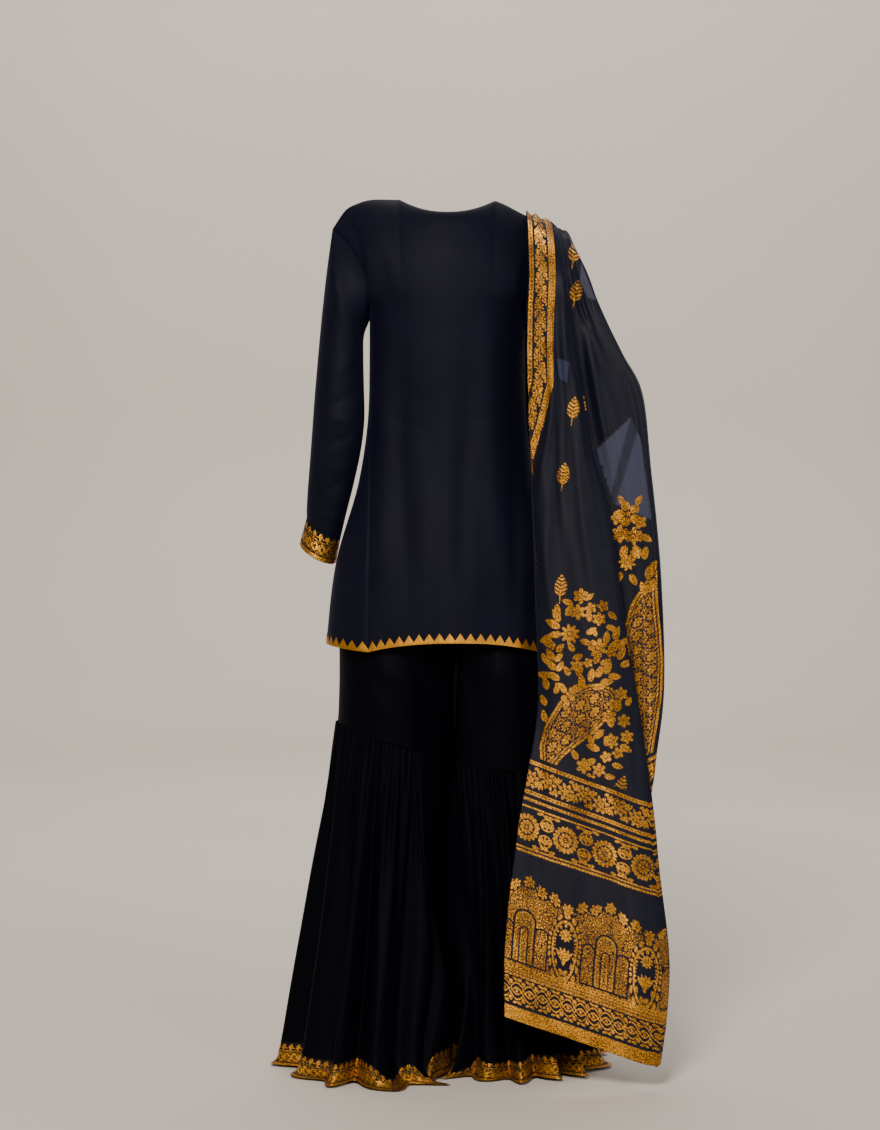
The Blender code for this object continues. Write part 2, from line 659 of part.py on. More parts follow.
def piece(name, points, wall, made_of, wraps=False, **more):
    return {"name": name, "points": points, "wall": wall, "material": made_of, "wraps": wraps, **more}


def kurta_pieces(silk, zari):
    back, front = kurta_points(True), kurta_points(False)
    count = 2 * UPPER_ROWS
    sewn = [
        piece("kurta_back", back, KURTA_WALL, silk),
        piece("kurta_front", front, KURTA_WALL, silk),
        piece("kurta_sleeve_left", sleeve_points(SLEEVE_LEFT, -1), KURTA_WALL, silk, True),
        piece("kurta_sleeve_right", sleeve_points(SLEEVE_RIGHT, 1), KURTA_WALL, silk, True),
        piece("kurta_cuff_left", cuff_points(CUFF_LEFT, -1, count), KURTA_WALL, zari, True),
        piece("kurta_cuff_right", cuff_points(CUFF_RIGHT, 1, count), KURTA_WALL, zari, True),
    ]
    join_seams(sewn)
    return sewn


def hem_trims(kurta_back, kurta_front, zari):
    """The edging follows the finished panels, moved out from their own points."""
    made = []
    for name, panel, splits in (
        ("kurta_hem_trim_back", kurta_back, BACK_TOOTH_SPLITS),
        ("kurta_hem_trim_front", kurta_front, FRONT_TOOTH_SPLITS),
    ):
        strip = piece(name, hem_trim_points(panel["points"], splits), TRIM_WALL, zari)
        out = panel["normals"][-1]
        for _ in range(splits):
            out = twice(out)
        strip["normals"] = np.stack([out, out])
        strip["lift"] = TRIM_WALL + TRIM_LIFT
        made.append(strip)
    return made


def gharara_pieces(silk, zari):
    band = piece("gharara_waistband", waistband_points(), GHARARA_WALL, silk, True)
    made = [band]
    for side, name in ((-1, "left"), (1, "right")):
        thigh = piece(f"gharara_thigh_{name}", thigh_points(side), GHARARA_WALL, silk)
        thigh["level"] = (-1, side, SEAM_GAP / 2)
        flare = piece(f"gharara_flare_{name}", flare_points(side), GHARARA_WALL, silk, True)
        flare["level"] = (0, side, -SEAM_GAP / 2)
        border = piece(
            f"gharara_hem_border_{name}", hem_border_points(side), GHARARA_WALL, zari, True
        )
        made += [thigh, flare, border]
    join_seams(made)
    return made


def dupatta_pieces(organza):
    made = [
        piece("dupatta_back_fall", back_fall_points(), DUPATTA_WALL, organza),
        piece("dupatta_front_fall", front_fall_points(), DUPATTA_WALL, organza),
    ]
    join_seams(made)
    return made


def build_suit():
    clear_scene()
    crepe = material("navy_silk_crepe", (0.010, 0.010, 0.016), 0.75)
    satin = material("black_crushed_silk", (0.008, 0.008, 0.010), 0.65)
    organza = material("navy_silk_organza", (0.014, 0.015, 0.026), 0.55)
    zari = material("gold_zari_weave", (0.45, 0.25, 0.06), 0.42, 0.7)
    kurta = kurta_pieces(crepe, zari)
    for made in kurta + hem_trims(kurta[0], kurta[1], zari):
        build_wall(made)
    for made in gharara_pieces(satin, zari) + dupatta_pieces(organza):
        build_wall(made)


build_suit()
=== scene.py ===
# %% [markdown]
# # A worn three-piece suit in dark silk and gold thread
# The suit is a long tunic (kurta), wide trousers gathered at the thigh (gharara) and a long sheer
# scarf (dupatta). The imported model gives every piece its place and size. This lesson lays finer
# cloth on those forms: each piece is one grid of points, so its creases are small moves of the
# points, and its woven figures are drawn in metres of cloth.

# %% Load the frame
import math

import bpy
import numpy as np
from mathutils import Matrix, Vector


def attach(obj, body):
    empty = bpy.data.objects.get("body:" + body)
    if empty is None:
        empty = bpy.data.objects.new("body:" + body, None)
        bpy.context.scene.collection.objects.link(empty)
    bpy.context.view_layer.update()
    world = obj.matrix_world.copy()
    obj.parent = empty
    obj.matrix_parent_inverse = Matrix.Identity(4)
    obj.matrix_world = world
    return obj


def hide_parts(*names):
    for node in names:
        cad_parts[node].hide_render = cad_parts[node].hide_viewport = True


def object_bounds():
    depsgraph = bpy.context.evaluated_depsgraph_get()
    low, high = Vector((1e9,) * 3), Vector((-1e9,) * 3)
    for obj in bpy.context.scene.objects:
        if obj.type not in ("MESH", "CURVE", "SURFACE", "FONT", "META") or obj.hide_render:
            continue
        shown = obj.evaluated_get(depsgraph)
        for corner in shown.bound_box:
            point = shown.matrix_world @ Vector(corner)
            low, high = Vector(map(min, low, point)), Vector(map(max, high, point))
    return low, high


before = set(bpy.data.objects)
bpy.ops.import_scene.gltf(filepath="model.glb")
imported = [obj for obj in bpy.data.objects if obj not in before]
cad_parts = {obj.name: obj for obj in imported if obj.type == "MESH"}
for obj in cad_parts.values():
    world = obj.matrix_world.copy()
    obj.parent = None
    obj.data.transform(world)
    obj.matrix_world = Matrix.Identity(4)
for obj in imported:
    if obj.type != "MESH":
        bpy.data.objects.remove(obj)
cad_box = [list(corner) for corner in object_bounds()]
print("solids:", len(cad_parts), "box:", cad_box)

# %% [markdown]
# ## Camera
# The picture was taken level with the waist from about five metres away. A long lens at that
# distance keeps the sides of the suit nearly parallel.

# %% Camera
LENS_MM, SENSOR_MM, EYE_X, EYE_HEIGHT, EYE_AWAY, AIM_HEIGHT = 89.93, 36, -0.012, -0.39, 4.8, -0.595
camera = bpy.data.objects.new("camera", bpy.data.cameras.new("camera"))
bpy.context.scene.collection.objects.link(camera)
camera.data.lens, camera.data.sensor_width = LENS_MM, SENSOR_MM
camera.location = (EYE_X, -EYE_AWAY, EYE_HEIGHT)
look_at = Vector((EYE_X, 0, AIM_HEIGHT))
camera.rotation_euler = (look_at - camera.location).to_track_quat("-Z", "Y").to_euler()
bpy.context.scene.camera = camera
print("camera:", tuple(camera.location))

# %% [markdown]
# ## Reading the tables
# The worn form follows short tables of sections, read on smooth curves. The same tables shaped the
# solids. Here they are read at many more rows and columns.


# %% Smooth tables
def table(columns, rows):
    """A table as a dictionary from each column's name to its values."""
    return dict(zip(columns.split(), np.array(rows, float).T))


def smooth_read(rows, column, at, key="z"):
    """A column read at values of the key column, on a smooth curve through the rows."""
    order = np.argsort(rows[key])
    keys, values = rows[key][order], rows[column][order]
    slopes = np.gradient(values, keys)
    at = np.clip(at, keys[0], keys[-1])
    i = np.clip(np.searchsorted(keys, at) - 1, 0, len(keys) - 2)
    span = keys[i + 1] - keys[i]
    t = (at - keys[i]) / span
    start = (2 * t**3 - 3 * t**2 + 1) * values[i] + (t**3 - 2 * t**2 + t) * span * slopes[i]
    end = (3 * t**2 - 2 * t**3) * values[i + 1] + (t**3 - t**2) * span * slopes[i + 1]
    return start + end


def depth_of(rows, behind, z):
    """The depth from the middle to the back, or to the front where behind is false."""
    return np.where(behind, smooth_read(rows, "back", z), smooth_read(rows, "front", z))


def step(low, high, x):
    """A smooth step from 0 at low to 1 at high."""
    t = np.clip((x - low) / (high - low), 0, 1)
    return t * t * (3 - 2 * t)


def mix(a, b, share):
    return a + (b - a) * share


def grid(rows, columns):
    """Every pair of a row value and a column value, as two arrays."""
    return np.meshgrid(np.asarray(rows, float), np.asarray(columns, float), indexing="ij")


# %% [markdown]
# ## A surface of cloth
# Cloth could be modelled with a plane and a Cloth simulation. The suit hangs in known folds, so a
# grid of worked-out points is quicker and always gives the same result. Each corner of the grid
# also gets a UV place in metres of cloth, so that weaves and woven figures have real sizes.


# %% Sew a piece of cloth
def steps_between(points, axis, wraps=False):
    """The distances walked along one axis of a grid of points, from its start."""
    if wraps:
        points = np.concatenate([points, points[:, :1]], axis=1)
    steps = np.linalg.norm(np.diff(points, axis=axis), axis=2)
    walked = np.cumsum(steps, axis=axis)
    first = np.zeros_like(walked[:, :1] if axis else walked[:1])
    return np.concatenate([first, walked], axis=axis)


def sew(name, points, wraps=False, thick=0.0, **fields):
    """A cloth surface through a grid of points. Each field becomes an attribute of its points."""
    rows, columns = points.shape[:2]
    spaces = columns if wraps else columns - 1
    r, c = np.meshgrid(np.arange(rows - 1), np.arange(spaces), indexing="ij")
    ring = [(r, c), (r + 1, c), (r + 1, c + 1), (r, c + 1)]
    corners = np.stack([a * columns + b % columns for a, b in ring], axis=-1).reshape(-1, 4)
    mesh = bpy.data.meshes.new(name)
    mesh.vertices.add(rows * columns)
    mesh.vertices.foreach_set("co", points.reshape(-1))
    mesh.loops.add(corners.size)
    mesh.loops.foreach_set("vertex_index", corners.reshape(-1))
    mesh.polygons.add(len(corners))
    mesh.polygons.foreach_set("loop_start", np.arange(0, corners.size, 4))
    across = steps_between(points, 1, wraps)
    down = steps_between(points, 0)
    down = np.concatenate([down, down[:, :1]], axis=1) if wraps else down
    places = np.stack([[across[a, b], -down[a, b]] for a, b in ring]).transpose(2, 3, 0, 1)
    mesh.uv_layers.new(name="cloth").data.foreach_set("uv", places.reshape(-1))
    for field, values in fields.items():
        made = mesh.attributes.new(field, "FLOAT", "POINT")
        made.data.foreach_set("value", np.broadcast_to(values, (rows, columns)).reshape(-1))
    mesh.update(calc_edges=True)
    mesh.validate()
    mesh.shade_smooth()
    piece = bpy.data.objects.new(name, mesh)
    bpy.context.scene.collection.objects.link(piece)
    if thick:
        wall = piece.modifiers.new("wall", "SOLIDIFY")
        wall.thickness, wall.offset = thick, -1
    print(f"{name}: {2 * len(corners) * (2 if thick else 1)} triangles")
    return piece


def out_of(points, wraps=False):
    """The outward direction at each point of a grid."""
    across = np.gradient(points, axis=1)
    if wraps:
        across = np.roll(points, -1, 1) - np.roll(points, 1, 1)
    out = np.cross(np.gradient(points, axis=0), across)
    return out / np.maximum(np.linalg.norm(out, axis=-1, keepdims=True), 1e-12)


# %% [markdown]
# ## Creases
# A crease is a soft trough or ridge along a line. Each row of a crease table gives its two ends as
# seen from the back, its width, and its height, which is below nothing for a trough. The ends fade
# out, and a slow wave keeps the line from being straight.


# %% Lay creases
WAVES, UPRIGHT = 7, 0.35


def lay_creases(points, creases, facing, wraps=False):
    """Moves the points that face one way (-1 back, 1 front) along the creases of a table."""
    out = out_of(points, wraps)
    x, z = points[..., 0], points[..., 2]
    towards = step(-0.1, 0.5, out[..., 1] * facing)
    push = np.zeros_like(x)
    for x1, z1, x2, z2, width, height in zip(*creases.values()):
        length = math.hypot(x2 - x1, z2 - z1)
        along = ((x - x1) * (x2 - x1) + (z - z1) * (z2 - z1)) / length**2
        aside = ((x - x1) * (z2 - z1) - (z - z1) * (x2 - x1)) / length
        aside = aside + 0.25 * width * np.sin(5 * along + 40 * x1)
        fade = step(-0.12, 0.3, along) * step(1.12, 0.6, along)
        push = push + height * fade * np.exp(-((aside / width) ** 2))
    return points + out * (push * towards)[..., None]


def small_waves(points, size, height, seed):
    """Slow unevenness of the cloth: a few crossing waves, the same each run."""
    turns = np.random.default_rng(seed)
    x, y, z = points[..., 0], points[..., 1], points[..., 2]
    total = np.zeros_like(x)
    for _ in range(WAVES):
        a, b, c = turns.normal(size=3) * np.array([1, 1, UPRIGHT]) / size
        total = total + np.sin(a * x + b * y + c * z + turns.uniform(0, 6.28))
    return height * total[..., None] / 3


# %% [markdown]
# ## The tunic
# A kurta is cut as a back, a front and two set-in sleeves with cuffs. Its crepe hangs from the
# shoulders in broad soft folds, so the body is a ring of half widths and depths by height, and the
# part above the underarm rolls over to the shoulder line.

# %% Sizes of the tunic
FOLD = "x1 z1 x2 z2 width height"
UNDERARM_Z, SHOULDER_TIP, NECK_HALF_WIDTH = -0.180, 0.194, 0.081
BACK_NECK_Z, BACK_NECK_Y = -0.001, -0.058
FRONT_NECK_Z, FRONT_NECK_Y = -0.072, 0.070
NECK_ROUND_Y, NECK_ROUND_Z = 0.75, 2.2
ARMHOLE_BULGE, ARMHOLE_ROUND = 0.060, 0.7
SIDE_SHIFT_Z, FRONT_SPREAD = -0.50, 0.12
WAVES_FROM_Z, WAVES_FULL_Z, HEM_WAVE, HEM_RIPPLE = -0.45, -0.74, 0.030, 0.014
LEFT_SEAM_X, RIGHT_SEAM_X = -0.131, 0.150
HEM_CENTRE_Z, HEM_SIDE_DROP = -0.719, 0.017
CREPE = 0.0008

KURTA = table("z half_width back front", (
    (-0.750, 0.208, 0.137, 0.132),
    (-0.588, 0.189, 0.124, 0.122),
    (-0.450, 0.150, 0.104, 0.112),
    (-0.350, 0.135, 0.096, 0.112),
    (-0.250, 0.1318, 0.098, 0.118),
    (-0.180, 0.1315, 0.098, 0.112),
))
SHOULDER_LINE = table("x z", (
    (-0.194, -0.0255),
    (-0.172, 0.006),
    (-0.150, 0.018),
    (-0.081, 0.024),
    (0.0, 0.024),
    (0.081, 0.022),
    (0.136, -0.004),
    (0.170, -0.018),
    (0.194, -0.036),
))


# %% Shape of the tunic's body
def shoulder_z(x):
    return smooth_read(SHOULDER_LINE, "z", x, key="x")


def top_edge(x, back):
    """The neckline and the shoulder seam, as (y, z)."""
    near = np.clip(np.abs(x) / NECK_HALF_WIDTH, 0, 1)
    neck_y, neck_z = (BACK_NECK_Y, BACK_NECK_Z) if back else (FRONT_NECK_Y, FRONT_NECK_Z)
    y = neck_y * (1 - near**2) ** NECK_ROUND_Y
    z = neck_z + (shoulder_z(np.sign(x) * NECK_HALF_WIDTH) - neck_z) * near**NECK_ROUND_Z
    return y, np.where(near < 1, z, shoulder_z(x))


def kurta_section(across, z, back):
    """The body below the underarm: across is -1 to 1 between the side seams, seen from behind."""
    half = smooth_read(KURTA, "half_width", z)
    left = np.arcsin(np.clip(LEFT_SEAM_X / half, -1, 1))
    right_x = mix(-LEFT_SEAM_X, RIGHT_SEAM_X, step(UNDERARM_Z, SIDE_SHIFT_Z, z))
    right = np.arcsin(np.clip(right_x / half, -1, 1))
    if not back:
        left, right = -math.pi - left, math.pi - right
        across = across * np.abs(across) ** FRONT_SPREAD
    turn = mix(left, right, (across + 1) / 2)
    turn = turn if back else math.pi - turn
    low = step(WAVES_FROM_Z, WAVES_FULL_Z, z)
    waves = 1 + low * HEM_WAVE * np.sin(7 * turn + 1.2) + low * HEM_RIPPLE * np.sin(13 * turn)
    depth = depth_of(KURTA, np.cos(turn) > 0, z)
    return half * np.sin(turn), -depth * np.cos(turn) * waves


def armhole_trim(across, y_low, up, back):
    """The underarm section's depth, drawn in so that the panel's side edges follow the armhole."""
    side = np.where(across < 0, -1.0, 1.0)
    _, y_seam = kurta_section(side, np.full_like(across, UNDERARM_Z), back)
    _, y_middle = kurta_section(0 * across, np.full_like(across, UNDERARM_Z), back)
    bulge = ARMHOLE_BULGE * np.sin(math.pi * up) ** ARMHOLE_ROUND * (-1 if back else 1)
    y_edge = mix(y_seam, bulge, step(0, 0.25, up))
    return y_edge + (y_low - y_seam) * (y_middle - y_edge) / (y_middle - y_seam)


def kurta_panel(across, down, back):
    """A point of the front or back: down is -1 at the top edge, 0 at the underarm, 1 at the hem."""
    hem = HEM_CENTRE_Z - HEM_SIDE_DROP * np.abs(across) ** 2
    z_low = mix(UNDERARM_Z, hem, np.clip(down, 0, 1))
    x_low, y_low = kurta_section(across, z_low, back)
    up = np.clip(np.sin(np.clip(-down, 0, 1) * math.pi / 2), 0, 1)
    roll = 1 - np.sqrt(np.clip(1 - up**2, 0, 1))
    y_top, z_top = top_edge(across * SHOULDER_TIP, back)
    x_up = mix(x_low, across * SHOULDER_TIP, up**2.8)
    y_up = mix(armhole_trim(across, y_low, up, back), y_top, roll)
    z_up = mix(UNDERARM_Z, z_top, up)
    above = down < 0
    return np.stack([
        np.where(above, x_up, x_low), np.where(above, y_up, y_low), np.where(above, z_up, z_low),
    ], axis=-1)


# %% Creases of the tunic
BACK_CREASES = table(FOLD, (
    (-0.106, -0.17, -0.108, -0.72, 0.017, 0.0040),
    (-0.078, -0.22, -0.068, -0.71, 0.015, -0.0034),
    (-0.034, -0.40, -0.040, -0.71, 0.017, 0.0022),
    (-0.004, -0.30, -0.003, -0.71, 0.016, 0.0026),
    (0.032, -0.20, 0.028, -0.72, 0.015, -0.0030),
    (0.070, -0.16, 0.084, -0.66, 0.017, 0.0036),
    (0.112, -0.28, 0.112, -0.72, 0.012, -0.0036),
    (-0.166, -0.01, -0.134, -0.10, 0.008, -0.0034),
    (-0.146, -0.04, -0.120, -0.17, 0.008, 0.0026),
    (-0.116, -0.07, -0.090, -0.17, 0.010, -0.0016),
    (0.150, -0.03, 0.120, -0.14, 0.009, -0.0026),
    (0.128, -0.08, 0.096, -0.20, 0.010, 0.0018),
    (-0.100, -0.345, -0.030, -0.362, 0.009, -0.0012),
    (0.030, -0.352, 0.100, -0.338, 0.009, -0.0011),
    (-0.050, -0.035, 0.050, -0.038, 0.014, -0.0010),
))
FRONT_CREASES = table(FOLD, (
    (-0.120, -0.18, -0.150, -0.71, 0.018, -0.0036),
    (-0.085, -0.24, -0.095, -0.72, 0.016, 0.0034),
    (-0.040, -0.30, -0.048, -0.70, 0.016, -0.0030),
    (0.008, -0.26, 0.004, -0.72, 0.018, 0.0030),
    (0.050, -0.22, 0.060, -0.71, 0.015, -0.0032),
    (0.098, -0.20, 0.120, -0.72, 0.018, 0.0036),
    (-0.160, -0.04, -0.118, -0.15, 0.009, -0.0030),
    (0.160, -0.04, 0.116, -0.16, 0.009, -0.0030),
    (-0.070, -0.345, 0.010, -0.358, 0.010, -0.0012),
))

# %% Sew the tunic's body
BODY_COLUMNS, UPPER_ROWS, BODY_ROWS = 116, 48, 76
panel_down = np.concatenate([np.linspace(-1, 0, UPPER_ROWS)[:-1], np.linspace(0, 1, BODY_ROWS)])
panel_across = np.linspace(-1, 1, BODY_COLUMNS)


def creased_panel(across, down, back):
    points = kurta_panel(across, down, back)
    held = (step(-1, -0.85, down) * step(1, 0.92, np.abs(across)))[..., None]
    creases, facing = (BACK_CREASES, -1) if back else (FRONT_CREASES, 1)
    moved = lay_creases(points, creases, facing)
    moved = moved + out_of(points) * small_waves(points, 0.05, 0.0007, 3)
    return mix(points, moved, held)


def body_panel(name, back):
    down, across = grid(panel_down, panel_across if back else panel_across[::-1])
    return sew(name, creased_panel(across, down, back), thick=CREPE)


tunic_back = body_panel("tunic_back", True)
tunic_front = body_panel("tunic_front", False)

# %% [markdown]
# ## Sleeves and cuffs
# A set-in sleeve starts as the armhole's own ring and becomes an oval round the arm. Each oval has
# an outer and an inner point, a depth, and a tilt where the arm bends. The left arm hangs down, and
# the right one is bent under the scarf. The cuff carries on from the last oval and widens.

# %% Sizes of the sleeves
OVAL = "outer_x outer_z inner_x inner_z y half_depth tilt"
SLEEVE_LEFT = table(OVAL, (
    (-0.203, -0.090, -0.141, -0.206, -0.002, 0.056, 0),
    (-0.211, -0.160, -0.142, -0.246, -0.004, 0.054, 0),
    (-0.218, -0.235, -0.141, -0.290, -0.008, 0.052, 0),
    (-0.225, -0.315, -0.140, -0.348, -0.012, 0.050, 0),
    (-0.229, -0.365, -0.146, -0.400, -0.008, 0.046, 8),
    (-0.234, -0.425, -0.158, -0.455, 0.004, 0.041, 14),
    (-0.238, -0.475, -0.171, -0.505, 0.016, 0.037, 16),
    (-0.240, -0.515, -0.182, -0.550, 0.026, 0.034, 18),
))
SLEEVE_RIGHT = table(OVAL, (
    (0.212, -0.095, 0.143, -0.202, -0.004, 0.055, 0),
    (0.243, -0.170, 0.165, -0.244, -0.012, 0.053, 0),
    (0.274, -0.235, 0.192, -0.284, -0.024, 0.050, 6),
    (0.300, -0.286, 0.219, -0.322, -0.026, 0.048, 24),
    (0.308, -0.320, 0.226, -0.340, 0.002, 0.046, 52),
    (0.300, -0.334, 0.220, -0.346, 0.048, 0.042, 74),
    (0.288, -0.340, 0.212, -0.350, 0.098, 0.038, 84),
    (0.276, -0.344, 0.206, -0.352, 0.146, 0.035, 87),
))
CUFF_LEFT = table(OVAL, (
    (-0.240, -0.515, -0.182, -0.550, 0.026, 0.034, 18),
    (-0.2525, -0.559, -0.190, -0.590, 0.036, 0.038, 18),
))
CUFF_RIGHT = table(OVAL, (
    (0.276, -0.344, 0.206, -0.352, 0.146, 0.035, 87),
    (0.273, -0.346, 0.200, -0.354, 0.189, 0.039, 87),
))
LEFT_SLEEVE_CREASES = table(FOLD, (
    (-0.150, -0.10, -0.205, -0.16, 0.010, -0.0020),
    (-0.152, -0.22, -0.200, -0.30, 0.010, 0.0020),
    (-0.146, -0.29, -0.200, -0.335, 0.009, -0.0030),
    (-0.150, -0.345, -0.215, -0.352, 0.008, 0.0026),
    (-0.154, -0.37, -0.222, -0.398, 0.008, -0.0028),
    (-0.165, -0.43, -0.226, -0.428, 0.007, 0.0020),
    (-0.170, -0.45, -0.232, -0.475, 0.008, -0.0024),
    (-0.182, -0.52, -0.234, -0.500, 0.006, 0.0018),
))
RIGHT_SLEEVE_CREASES = table(FOLD, (
    (0.160, -0.12, 0.220, -0.15, 0.011, -0.0022),
    (0.190, -0.20, 0.250, -0.22, 0.010, 0.0020),
    (0.215, -0.29, 0.290, -0.26, 0.009, -0.0028),
    (0.222, -0.32, 0.302, -0.31, 0.008, 0.0024),
))


# %% Shape of the sleeves
def armhole(side, spaces):
    """The armhole as a ring that starts at the shoulder tip and runs to the right."""
    up = np.linspace(-1, 0, spaces + 1)
    back = kurta_panel(np.full(len(up), float(side)), up, True)
    front = kurta_panel(np.full(len(up), float(side)), up, False)
    first, second = (back, front) if side < 0 else (front, back)
    return np.concatenate([first, second[-2:0:-1]])


def oval(rows, i, side, count):
    row = {name: values[i] for name, values in rows.items()}
    turn = 2 * math.pi * np.arange(count) / count
    outer = np.array([row["outer_x"], row["y"], row["outer_z"]])
    inner = np.array([row["inner_x"], row["y"], row["inner_z"]])
    tilt = math.radians(row["tilt"])
    forward = np.array([0, math.cos(tilt), math.sin(tilt)]) * row["half_depth"] * side
    middle, half = (outer + inner) / 2, (outer - inner) / 2
    return middle + np.cos(turn)[:, None] * half + np.sin(turn)[:, None] * forward


def between_rings(rings, count):
    """Rings on a smooth curve through the given ones."""
    slopes = np.gradient(rings, axis=0)
    at = np.linspace(0, len(rings) - 1, count)
    i = np.clip(at.astype(int), 0, len(rings) - 2)
    t = (at - i)[:, None, None]
    start = (2 * t**3 - 3 * t**2 + 1) * rings[i] + (t**3 - 2 * t**2 + t) * slopes[i]
    return start + (3 * t**2 - 2 * t**3) * rings[i + 1] + (t**3 - t**2) * slopes[i + 1]


# %% Sew the sleeves and cuffs
SLEEVE_COUNT, SLEEVE_RINGS, CUFF_RINGS = 104, 110, 24


def sleeve(name, rows, side, creases):
    ovals = [oval(rows, i, side, SLEEVE_COUNT) for i in range(len(rows["y"]))]
    points = between_rings(np.stack([armhole(side, SLEEVE_COUNT // 2), *ovals]), SLEEVE_RINGS)
    moved = lay_creases(points, creases, -1, wraps=True)
    moved = lay_creases(moved, creases, 1, wraps=True)
    moved = moved + out_of(points, True) * small_waves(points, 0.03, 0.0006, 5)
    down = np.linspace(0, 1, SLEEVE_RINGS)[:, None, None]
    return sew(name, mix(points, moved, step(0, 0.1, down) * step(1, 0.96, down)), True)


sleeve_left = sleeve("tunic_sleeve_left", SLEEVE_LEFT, -1, LEFT_SLEEVE_CREASES)
sleeve_right = sleeve("tunic_sleeve_right", SLEEVE_RIGHT, 1, RIGHT_SLEEVE_CREASES)


def cuff_rings(rows, side):
    ends = np.stack([oval(rows, i, side, 2 * SLEEVE_COUNT) for i in (0, 1)])
    share = np.linspace(0, 1, CUFF_RINGS)[:, None, None]
    return mix(ends[0], ends[1], share)

# %% [markdown]
# ## The trousers
# A gharara is fitted to the thigh, and a second, much wider leg is gathered into a seam there. The
# gathers start as about fifty fine pleats, run together into thirteen deep flutes, and the hem
# trails on the floor. Every fold is a wave on the leg's ring. Fine waves fade down the leg while
# broad ones grow.

# %% Sizes of the trousers
WAIST_TOP_Z, WAIST_Z = -0.385, -0.425
CROTCH_Z, LEGS_APART_Z = -0.690, -0.780
INSEAM_X, LEG_FLATNESS = 0.0025, 0.92
LEFT_SEAM_Z, LEFT_SEAM_SLOPE = -0.918, 0.30
RIGHT_SEAM_Z, RIGHT_SEAM_SLOPE = -0.927, -0.08
SEAM_ROUNDING = 0.020
FLOOR_Z, FLOOR_BEND, BEND_SHARE, LEAST_TRAIL = -1.445, 0.008, 0.20, 0.004
INNER_FOLD, LEFT_SWEEP = 0.085, 0.040
LEG_DROP, HEM_BORDER = 0.58, 0.052
LEAN, LEAN_WAVE, LEAN_REACH = 0.014, 0.023, 0.05
GATHERS, FLUTES = 52, 13
GATHER_DEPTH, PAIRED_DEPTH, FLUTE_DEPTH = 0.0024, 0.0030, 0.019
TURN_STEP = 0.002

HIPS = table("z half_width back front", (
    (-0.940, 0.188, 0.108, 0.104),
    (-0.780, 0.184, 0.112, 0.106),
    (-0.690, 0.184, 0.118, 0.108),
    (-0.600, 0.182, 0.1215, 0.108),
    (-0.500, 0.148, 0.105, 0.104),
    (-0.425, 0.122, 0.088, 0.098),
    (-0.385, 0.118, 0.084, 0.094),
))
FLARE = table("below outer inner back front", (
    (0.000, 0.188, 0.0025, 0.104, 0.100),
    (0.080, 0.198, 0.0040, 0.112, 0.106),
    (0.230, 0.216, 0.0045, 0.126, 0.116),
    (0.380, 0.234, 0.0045, 0.140, 0.126),
    (0.470, 0.247, 0.0050, 0.152, 0.136),
    (0.560, 0.262, 0.0050, 0.166, 0.146),
))
TRAILS_LEFT = table("turn spread length", (
    (0.120, 0.030, 0.075),
    (0.205, 0.032, 0.055),
    (0.34, 0.060, 0.022),
    (0.52, 0.120, 0.012),
    (0.80, 0.100, 0.020),
))
TRAILS_RIGHT = table("turn spread length", (
    (0.10, 0.030, 0.055),
    (0.20, 0.050, 0.022),
    (0.46, 0.120, 0.012),
    (0.78, 0.100, 0.020),
))
THIGH_CREASES = table(FOLD, (
    (-0.165, -0.74, -0.100, -0.80, 0.012, -0.0026),
    (-0.140, -0.80, -0.070, -0.86, 0.012, 0.0020),
    (-0.060, -0.72, -0.030, -0.86, 0.010, -0.0030),
    (-0.100, -0.60, -0.110, -0.78, 0.016, 0.0022),
    (0.030, -0.74, 0.060, -0.88, 0.012, -0.0030),
    (0.085, -0.70, 0.090, -0.90, 0.014, 0.0028),
    (0.125, -0.72, 0.130, -0.90, 0.012, -0.0026),
    (0.050, -0.56, 0.080, -0.70, 0.014, 0.0020),
))


# %% Shape of the thighs
def seam_z(x, side):
    """The height of the gathered seam: sloping up and out on the left, near level on the right."""
    out = np.hypot(x, SEAM_ROUNDING)
    return LEFT_SEAM_Z + LEFT_SEAM_SLOPE * out if side < 0 else RIGHT_SEAM_Z + RIGHT_SEAM_SLOPE * out


def lean(points):
    """Both legs' inner sides bend together, so that each fits into its neighbour's hollow."""
    x, y, z = points[..., 0], points[..., 1], points[..., 2]
    below_crotch = step(CROTCH_Z + 0.03, CROTCH_Z - 0.04, z)
    near = np.exp(-((x / LEAN_REACH) ** 2))
    shift = LEAN * below_crotch * near * np.sin(y / LEAN_WAVE + 5 * z)
    return np.stack([x + shift, y, z], axis=-1)


def thigh_point(turn, down, side):
    """turn runs from the inseam round to it again. down is -1 at the waist, 0 where the legs are
    fully apart and 1 at the gathered seam."""
    z = mix(LEGS_APART_Z, WAIST_Z, np.clip(-down, 0, 1))
    z = np.where(down > 0, mix(LEGS_APART_Z, seam_z(0.1, side), down), z)
    beta = math.pi * (turn if side > 0 else 1 - turn)
    half = smooth_read(HIPS, "half_width", z)
    depth = depth_of(HIPS, beta < math.pi / 2, z)
    body = half * np.sin(beta), -depth * np.cos(beta)
    centre, radius = (half + INSEAM_X) / 2, (half - INSEAM_X) / 2
    leg = centre - radius * np.cos(2 * beta), -depth * np.sin(2 * beta) * LEG_FLATNESS
    parted = step(CROTCH_Z, LEGS_APART_Z, z)
    x, y = mix(body[0], leg[0], parted), mix(body[1], leg[1], parted)
    z = np.where(down > 0, mix(LEGS_APART_Z, seam_z(x, side), down), z)
    return lean(np.stack([side * x, y, z], axis=-1))


# %% Shape of the gathered legs
def from_back(turn, side):
    """The place round a leg, counted so that both legs start at the inseam and run by the back."""
    return turn if side > 0 else 1 - turn


